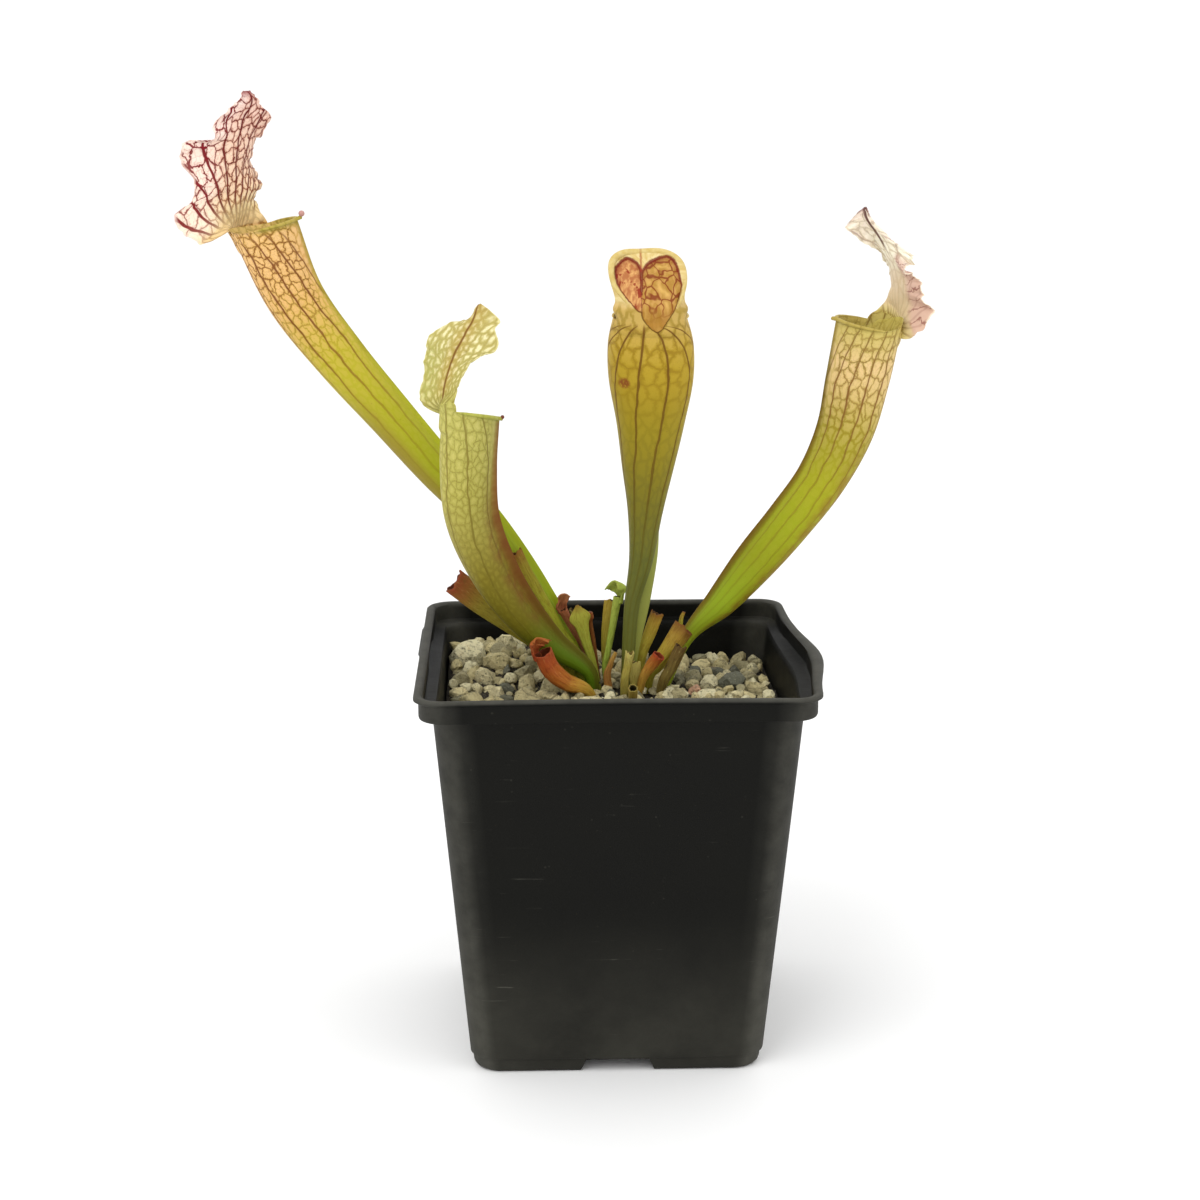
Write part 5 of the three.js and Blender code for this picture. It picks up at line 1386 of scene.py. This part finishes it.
right_finish = pitcher_finish(
    "right_tissue",
    flesh=[(0.0, "#7b8720"), (0.125, "#92a71f"), (0.19, "#919818"), (0.25, "#989f1a"),
           (0.31, "#9e9d1e"), (0.375, "#9c8e2a"), (0.4, "#ab9743"), (0.44, "#c9ad69"),
           (0.5, "#bba85a"), (0.508, "#c9b878"), (0.53, "#cdb68c"), (0.68, "#d0ba9b"),
           (0.78, "#e9dfc4"), (0.95, "#ebdfc6"), (1.0, "#8a5550")],
    window=[(0.0, "#8f9c22"), (0.3, "#a9a42c"), (0.4, "#cfb66e"), (0.46, "#e3c28c"),
            (0.5, "#c6b768"), (0.52, "#d6c68e"), (0.6, "#dccdb0"), (0.8, "#fbf5e0"),
            (1.0, "#f0dccc")],
    vein=[(0.0, "#6d6a16"), (0.25, "#7a5c16"), (0.42, "#764518"), (0.5, "#7a5c20"),
          (0.58, "#9a7f58"), (0.78, "#a98a68"), (0.95, "#8a5a4c"), (1.0, "#4e1a1c")],
    net=[(0.33, 0.0), (0.4, 0.35), (0.46, 0.65), (0.5, 0.4), (0.52, 0.0), (0.68, 0.05), (0.78, 0.3),
         (1.0, 0.4)],
    main=[(0.1, 0.15), (0.3, 0.4), (0.42, 0.85), (0.5, 0.7), (0.53, 0.2), (0.7, 0.2), (0.8, 0.5)],
    panes=[(0.1, 0.1), (0.34, 0.25), (0.45, 0.85), (0.5, 0.5), (0.56, 0.15), (0.7, 0.3),
           (0.8, 1.0)],
    cell=(2.6, 3.4), line=0.16, marks=right_marks,
    wing=[(0.0, "#7a7420"), (0.12, "#6e4a16"), (0.3, "#6b4a12"), (0.45, "#5f5410"),
          (0.5, "#8a7434")],
    lip="#a89448", inner="#b0a046", rim="#f3ead2")
right_hood = hood_grid(
    right,
    near=[[76.7, 18, 185.8], [79.9, 17, 183.3], [81.5, 18, 184.7],
          [85.7, 19, 190.9], [82.7, 20, 194.6], [82.7, 21, 198.7], [79.6, 22, 200.2],
          [78.6, 24, 201.8], [81, 23, 203.4], [79.6, 23.5, 205.4], [77, 25.5, 206.8],
          [72, 27, 210.9], [68.9, 27.5, 214.7], [68.6, 27.5, 217.7]],
    middle=[[78, 26.5, 186.7], [78, 27.5, 191.1], [77.9, 28, 196.4],
            [77, 28.5, 201.2], [74.4, 29, 206.5], [71.7, 29, 210.7], [68.7, 28.5, 214.7],
            [68.3, 28, 217.6]],
    far=[[70, 30.5, 187.6], [73.3, 32, 190], [75.3, 32.8, 192.3], [76.2, 33, 194.6],
         [76.8, 33.5, 196.2], [76.6, 34, 197.9], [76.1, 34, 200.2], [75.3, 34, 202.4],
         [73, 33, 205.2], [68.8, 31, 207.7], [63.7, 30, 211.5], [64.6, 29.5, 214],
         [67.7, 28.5, 217.5]],
    wave=1.0, bite=0.055, waves=9.0, seed=21, calm=0.5)
new_piece("right_pitcher", [trumpet_grid(right, lip=0.55),
                            right_hood], right_finish, ["pitcher_right"])

# Red young pitcher
# The largest of the small leaves leans out over the gravel at the front left. It is red-orange
# with a small flap of a hood, and tan where it comes out of the crown.
STUB_WALL = 0.35
SUNNED = (1.04, 1.1, 0.62)


def jag(turn, seed):
    """An uneven wave round a torn edge, from -1 to 1, of sines that close on themselves."""
    phases = np.random.default_rng(seed).uniform(0.0, 2 * math.pi, 3)
    return (0.5 * np.sin(2 * turn + phases[0]) + 0.3 * np.sin(5 * turn + phases[1])
            + 0.2 * np.sin(9 * turn + phases[2]))


def stub_grid(stalk, seed, hollow=4.0, torn=0.6, dry=0.05, rows=64, columns=40):
    """A small leaf, cut or withered: its end is torn unevenly and hollow to a depth in mm, and its
    wall is fluted lengthwise as it dries."""
    turn = np.linspace(0.0, 2 * math.pi, columns + 1)[None]
    share = np.linspace(0.0, 1.0, rows)[:, None]
    flutes = dry * (np.sin(7 * turn + 5 * share + seed) + 0.6 * np.sin(13 * turn - 9 * share))
    tear = torn * jag(turn, seed)
    outer = stalk.wall(share, turn, flutes, tear * smooth(0.8, 1.0, share))
    floor = max(0.0, 1.0 - hollow / stalk.run[-1])
    down = np.linspace(1.0, floor, 16)[:, None] if hollow else np.ones((1, 1))
    lining = stalk.wall(down, turn, -STUB_WALL + flutes[-1:], tear * smooth(0.8, 1.0, down), 0.0)
    points = np.concatenate([outer, lining])
    along = np.concatenate([share, down])
    inside = np.concatenate([np.zeros_like(share), np.ones_like(down)])
    run = stalk.length(along) + 0.0 * turn
    flat = np.stack([turn * stalk.girth(0.7) / 6.3 + 0.0 * along, run], axis=-1)
    return closed_poles(points[:, :-1], {"net": flat}, along=along, inside=inside)


def stub_finish(name, shades, streak, inner="#3a2414", gloss=0.55, depth=1.0):
    """Drying leaf tissue, warmed by the sun: shades from base to tip, with lengthwise streaks,
    blotches and specks, and painted shade in its hollow end."""
    leaf = Finish(name, Subsurface_Weight=0.04, Subsurface_Scale=0.001, Specular_IOR_Level=0.18)
    flat = leaf.node("UVMap", {"uv_map": "net"})
    lines = leaf.noise(leaf.scaled(flat, (2.2, 0.22, 0.0)), 1.6, 4.0, 0.65)
    cloud = leaf.noise(flat, 0.45, 3.0)
    speck = leaf.noise(flat, 4.5, 3.0).step(0.64, 0.74)
    base = leaf.ramp(leaf.value("along") * 0.5, [(0.5 * place, tone) for place, tone in shades])
    # The inner colour is painted shade, laid over the lining of the hollow end.
    colour = leaf.painted(
        base, (streak, 0.75 * lines.step(0.5, 0.68)), ("#e4cf9a", 0.28 * lines.step(0.42, 0.28)),
        (streak, 0.5 * cloud.step(0.55, 0.75)), ("#40220f", 0.45 * speck),
        (inner, 0.85 * leaf.value("inside")))
    return leaf.wear(Base_Color=leaf.scaled(colour, SUNNED), Roughness=gloss + 0.2 * lines,
                     Normal=leaf.bump(lines, 0.0002 * depth, 0.9))


def small_leaf(name, node, slot, stations, face, finish, top_face=None, hood=None, also=(), **cut):
    """The piece for one small leaf, which stands for one CAD node: a tube whose face is the same
    at both ends unless a top face is given, a hood where its rails are given, and other grids."""
    stalk = Stalk(stations, face, top_face or face)
    grids = [stub_grid(stalk, **cut), *also]
    if hood is not None:
        grids.append(hood_grid(stalk, below=2.0, **hood))
    new_piece(name, grids, finish, [node])


small_leaf(
    "red_young_pitcher", "young_pitcher_red", "red_leaf",
    [[-3.5, 3, 87, 1.1, 1, 0], [-7.5, -0.5, 93, 2, 1.5, 0.2], [-12.5, -2.5, 95.6, 2.7, 1.9, 0.4],
     [-16.6, -3.8, 99.6, 3, 2.3, 0.5], [-18.6, -4.5, 104.3, 2.7, 2.3, 0.3]],
    [0.5, -0.2, 0.8],
    stub_finish("red_young_tissue",
                [(0.0, "#a38a40"), (0.3, "#a9823c"), (0.55, "#a8632f"), (0.85, "#a54c2b"),
                 (1.0, "#96402a"), (2.0, "#a35c36")], "#7c2a1c", inner="#4a1f14", gloss=0.45),
    top_face=[0.8, -0.5, 0.2],
    hood=dict(near=[[-20.9, -6.2, 104.6], [-21.4, -6.4, 106.3], [-20.7, -6, 107.7]],
              middle=[[-21, -4.5, 104.8], [-21.4, -4.2, 106.6], [-19.6, -4, 108.3]],
              far=[[-19.4, -2.8, 104.6], [-17.8, -3, 106], [-16.6, -3.6, 107.2]],
              wave=0.7, bite=0.12, waves=4.0, rows=40, columns=24),
    seed=4, hollow=5.5, torn=0.3)

# Left cut leaf
# An old trap cut off half-way, which leans out to the left behind the front left pitcher. Its
# flattened tube is olive-tan and turns red-brown at the cut.
small_leaf(
    "left_cut_leaf", "cut_leaf_left", "dried_leaf",
    [[-9.5, 10, 85, 1.2, 0.8, 0], [-12, 9.5, 96, 1.8, 0.9, 0.2], [-18.5, 9.5, 102.5, 2.4, 1.1, 0.3],
     [-26.5, 9.5, 108.5, 3, 1.3, 0.3], [-34.5, 9.5, 114.5, 3.5, 1.3, 0.3],
     [-42, 9, 120.5, 3.6, 1.3, 0.3]],
    [0.3, -0.8, 0.3],
    stub_finish("left_cut_tissue",
                [(0.0, "#7d7a2a"), (0.45, "#8c8236"), (0.8, "#8e7c38"), (0.92, "#8a5632"),
                 (1.0, "#84392c")], "#6c5026", inner="#4c1f1a"),
    seed=9, hollow=7.0, torn=0.7)

# Olive cut leaf
# A narrow cut leaf that stands between the tall left and the front left pitcher.
small_leaf(
    "olive_cut_leaf", "cut_leaf_olive", "young_leaf",
    [[-7, 10.4, 85, 1, 0.7, 0], [-9, 10.8, 98, 1.6, 0.8, 0.2], [-14, 11, 105.5, 2.1, 0.9, 0.3],
     [-19, 11.5, 114, 2.3, 0.9, 0.3], [-23.5, 11.8, 122, 2.4, 0.9, 0.3],
     [-26, 12, 127.5, 2.3, 0.9, 0.3]],
    [0.3, -0.9, 0.2],
    stub_finish("olive_cut_tissue",
                [(0.0, "#8a8f34"), (0.5, "#93922f"), (0.85, "#8f7c2c"), (1.0, "#8b5a2c")],
                "#6e4a1c", inner="#4c2a18"),
    seed=13, hollow=6.0, torn=0.7)

# Grey dried pitcher
# A thin dead trap at the back of the crown, shrunk and grey-brown.
small_leaf(
    "grey_dried_pitcher", "dried_pitcher_grey", "dried_leaf",
    [[-3.5, 15.5, 85, 0.9, 0.7, 0], [-5.5, 17, 96, 1.1, 0.9, 0], [-7, 17.5, 100, 1.3, 1, 0],
     [-8.5, 18, 105, 1.4, 1.1, 0], [-9.5, 18.5, 110, 1.7, 1.3, 0]],
    [0, -1, 0],
    stub_finish("grey_dried_tissue", [(0.0, "#5a4a34"), (0.5, "#75654a"), (1.0, "#8b7a5c")],
                "#4a3a28", gloss=0.7, depth=2.0),
    seed=17, torn=0.8, dry=0.12)

# Hooded dried pitcher
# A small shrivelled trap, a muted pink-brown, that still has its hood.
small_leaf(
    "hooded_dried_pitcher", "dried_pitcher_hooded", "red_leaf",
    [[-3.2, 13.3, 85, 0.8, 0.7, 0], [-5.6, 13, 96, 0.9, 0.8, 0], [-8, 12.8, 102, 0.9, 0.8, 0.2],
     [-11, 12.5, 107.5, 1, 0.9, 0.2], [-13, 12.5, 111.5, 1.25, 1.1, 0.2]],
    [0.5, -0.8, 0],
    stub_finish("hooded_dried_tissue",
                [(0.0, "#85603f"), (0.5, "#915849"), (1.0, "#9c5a4c"), (2.0, "#a86a58")],
                "#6c3a2c", depth=1.6),
    hood=dict(near=[[-14, 12, 112], [-14.2, 12, 113.8], [-14.4, 11.5, 115.6]],
              middle=[[-13.2, 13.4, 112], [-13.2, 13.6, 114], [-12.6, 13.3, 115.9]],
              far=[[-12.2, 13, 112], [-11.6, 13.2, 113.6], [-11, 12.9, 115.2]],
              wave=0.35, bite=0.12, waves=3.0, rows=36, columns=20),
    seed=21, hollow=3.5, torn=0.3, dry=0.1)

# Leaf with a point
# A short flat yellow-green leaf whose shoulders narrow to a brown point.
small_leaf(
    "leaf_with_point", "pointed_leaf", "young_leaf",
    [[-2.6, 8.8, 85, 0.8, 0.6, 0], [-4.8, 8.5, 96.5, 1, 0.5, 0], [-6.7, 8.5, 103.3, 1.3, 0.5, 0],
     [-8, 8.5, 108, 1.9, 0.5, 0], [-8.6, 8.4, 110.6, 2.9, 0.5, 0],
     [-9.3, 8.4, 113.8, 0.3, 0.3, 0]],
    [0.2, -1, 0],
    stub_finish("pointed_tissue",
                [(0.0, "#87893c"), (0.6, "#969342"), (0.85, "#a09a4a"), (1.0, "#8d6a38")],
                "#7d6a2c"),
    seed=25, hollow=0.0, torn=0.0)

# Stalk with a knob
# A thin red-brown stalk that ends in a round bud.
small_leaf(
    "stalk_with_knob", "knobbed_stalk", "red_leaf",
    [[-2.4, 11, 85, 0.6, 0.6, 0], [-4, 11.2, 96.5, 0.6, 0.6, 0], [-4.8, 11.3, 103, 0.6, 0.6, 0],
     [-5.6, 11.3, 108, 0.6, 0.6, 0], [-5.8, 11.2, 109.6, 1.1, 1, 0],
     [-5.6, 11, 111.2, 0.6, 0.6, 0]],
    [0, -1, 0],
    stub_finish("knobbed_tissue", [(0.0, "#6b4424"), (0.7, "#7d4526"), (1.0, "#8c4a30")],
                "#5a2c18"),
    seed=29, hollow=0.0, torn=0.0, dry=0.03)

# Left tan stub
# A straw-coloured stump of an old leaf, left of the centre pitcher.
small_leaf(
    "left_tan_stub", "stub_tan_left", "dried_leaf",
    [[-0.3, 14.4, 85, 0.9, 0.8, 0], [-1.2, 14.6, 95, 1.1, 0.9, 0], [-1.2, 14.8, 101, 1.4, 1, 0],
     [-0.8, 15, 107, 1.6, 1, 0], [0, 15.2, 113.3, 1.7, 1, 0]],
    [0.2, -1, 0],
    stub_finish("left_tan_tissue", [(0.0, "#8c833c"), (0.6, "#a08e42"), (1.0, "#a48844")],
                "#7d6128"),
    seed=33, dry=0.08)

# Green young pitcher
# A thin new trap with a small bent hood, green at the foot and yellower above.
small_leaf(
    "green_young_pitcher", "young_pitcher_green", "young_leaf",
    [[-0.2, 11, 85, 0.7, 0.6, 0], [-1.8, 10.8, 95, 0.8, 0.7, 0], [-0.8, 11.3, 100.5, 0.9, 0.8, 0],
     [0.5, 12, 107.5, 1, 0.9, 0.1], [1.8, 12.5, 115, 1.2, 1.1, 0.1]],
    [-0.8, 0.3, 0],
    stub_finish("green_young_tissue",
                [(0.0, "#7a8a38"), (0.5, "#94a152"), (1.0, "#a1ab60"), (2.0, "#a3ab62")],
                "#5f6a24"),
    hood=dict(near=[[2.6, 11.2, 115.4], [3.6, 10.8, 117], [1.6, 10.6, 117.4]],
              middle=[[3.1, 12.4, 115.4], [3.3, 12.4, 118], [0.6, 12.2, 119.6]],
              far=[[1.6, 13.6, 115.2], [-0.4, 13.8, 116.6], [-1.6, 13, 117]],
              wave=0.25, bite=0.06, waves=3.0, rows=36, columns=20),
    seed=37, hollow=3.0, torn=0.2, dry=0.03)

# Right tan stub
# A wider tan stump to the right of the centre pitcher, brown at the cut.
small_leaf(
    "right_tan_stub", "stub_tan_right", "dried_leaf",
    [[7.2, 12.2, 85, 0.9, 0.8, 0], [7.8, 12.3, 95, 1.2, 0.9, 0], [8.8, 12.6, 100, 1.4, 1.1, 0],
     [10.7, 13, 105, 1.7, 1.2, 0], [12.6, 13.5, 110, 1.8, 1.3, 0]],
    [0.2, -1, 0.2],
    stub_finish("right_tan_tissue",
                [(0.0, "#989246"), (0.6, "#aa9746"), (0.9, "#a68440"), (1.0, "#82522a")],
                "#8a6a2c"),
    seed=41, hollow=5.0, torn=0.5, dry=0.06)

# Spiked stub
# The widest stump, olive with a brown top. A dry spike stands up from behind its cut.
spike = Stalk([[18.6, 12.4, 104.5, 0.7, 0.7, 0], [19, 12.8, 108.5, 0.55, 0.55, 0],
               [19.8, 13, 110.5, 0.4, 0.4, 0]], base_face=[0, -1, 0], face=[0, -1, 0])
small_leaf(
    "spiked_stub", "stub_spiked", "young_leaf",
    [[9.6, 8.6, 85, 1.1, 0.9, 0], [10, 6.5, 94, 1.4, 1.2, 0.1], [12.5, 7.5, 97.5, 2, 1.5, 0.2],
     [15.7, 9, 101.5, 2.6, 1.9, 0.3], [19.5, 11, 106.5, 3.1, 2.1, 0.3]],
    [0.5, -0.8, 0.3],
    stub_finish("spiked_tissue",
                [(0.0, "#8f8a34"), (0.5, "#9c8b38"), (0.88, "#957334"), (1.0, "#70431f")],
                "#6f4c1e", inner="#5c2f1a"),
    also=[stub_grid(spike, seed=46, hollow=0.0, torn=0.0, dry=0.03, rows=20)],
    seed=45, hollow=6.0, torn=0.8)

# Red cut tube
# A thin tube whose round cut end faces the viewer.
small_leaf(
    "red_cut_tube", "cut_tube_red", "red_leaf",
    [[6.6, 5.6, 85, 0.8, 0.8, 0], [8, 3, 94, 1.1, 1.1, 0], [10, 2.5, 98, 1.5, 1.4, 0],
     [12.4, 1.4, 101.6, 1.7, 1.5, 0]],
    [0, -1, 0.3],
    stub_finish("red_cut_tissue",
                [(0.0, "#9c8240"), (0.6, "#a4733a"), (0.9, "#a4552e"), (1.0, "#983626")],
                "#80502a", inner="#6c2418"),
    seed=49, torn=0.2)

# Dark stub
# A dark brown stump in front of the spiked one.
small_leaf(
    "dark_stub", "stub_dark", "dried_leaf",
    [[12.4, 7.4, 85, 1, 0.9, 0], [13.7, 3.5, 93.5, 1.4, 1.1, 0], [16, 3.8, 98, 1.6, 1.2, 0],
     [18.5, 4.8, 103, 1.7, 1.2, 0]],
    [0.4, -0.9, 0.2],
    stub_finish("dark_stub_tissue", [(0.0, "#6c5c36"), (0.6, "#6c5836"), (1.0, "#5a4228")],
                "#45321c"),
    seed=53, dry=0.08)

# Cut tube with a membrane
# A pale tube, palest at its torn end, where the edge of an old membrane is left.
small_leaf(
    "membrane_cut_tube", "cut_tube_membrane", "dried_leaf",
    [[3.4, 4, 85, 0.9, 0.9, 0], [3.2, 1.5, 94, 1.1, 1.1, 0], [4, 1.4, 98.5, 1.1, 1.1, 0],
     [4.6, 1.3, 102.5, 1.2, 1.2, 0]],
    [0, -1, 0],
    stub_finish("membrane_tissue", [(0.0, "#8a7a46"), (0.7, "#a39258"), (1.0, "#c0b083")],
                "#6f5c30", inner="#5c4424"),
    seed=57, hollow=3.0)

# Dried strips
# A flat dead strip at the foot of the centre pitcher.
small_leaf(
    "strips_dried", "dried_strips", "dried_leaf",
    [[0.4, 6.8, 85, 1, 0.5, 0], [-1.2, 6, 94, 1, 0.4, 0], [-0.4, 5.5, 98, 0.7, 0.4, 0],
     [1, 5.2, 101.5, 0.4, 0.35, 0]],
    [0, -1, 0],
    stub_finish("strips_tissue", [(0.0, "#8a5a38"), (0.6, "#a07048"), (1.0, "#b08a58")], "#6c4024"),
    seed=61, hollow=0.0, torn=0.0)

# Papery scrap
# A loose pale scale of a leaf base.
small_leaf(
    "papery_scale", "papery_scrap", "young_leaf",
    [[6, 4.4, 90.5, 0.9, 0.4, 0], [6.1, 4.2, 95, 1.5, 0.4, 0], [6.4, 4, 99, 1.4, 0.4, 0]],
    [0.3, -1, 0],
    stub_finish("papery_tissue", [(0.0, "#a08e56"), (1.0, "#c9ba86")], "#8a7440"),
    seed=65, hollow=0.0, torn=0.5)

# Loose hollow stub
# A short ring of an old stem that lies on the gravel in front, with near-black painted shade inside.
small_leaf(
    "loose_hollow_stub", "hollow_stub_loose", "dried_leaf",
    [[5, -5, 90.5, 1.1, 1.1, 0], [5, -7, 93, 1.2, 1.2, 0], [5, -9, 95.6, 1.25, 1.25, 0]],
    [1, 0, 0],
    # The near-black inner colour is painted shade in the hollow.
    stub_finish("loose_stub_tissue", [(0.0, "#7a6236"), (1.0, "#a08a58")], "#5c4424",
                inner="#0d0a08"),
    seed=69, torn=0.2)
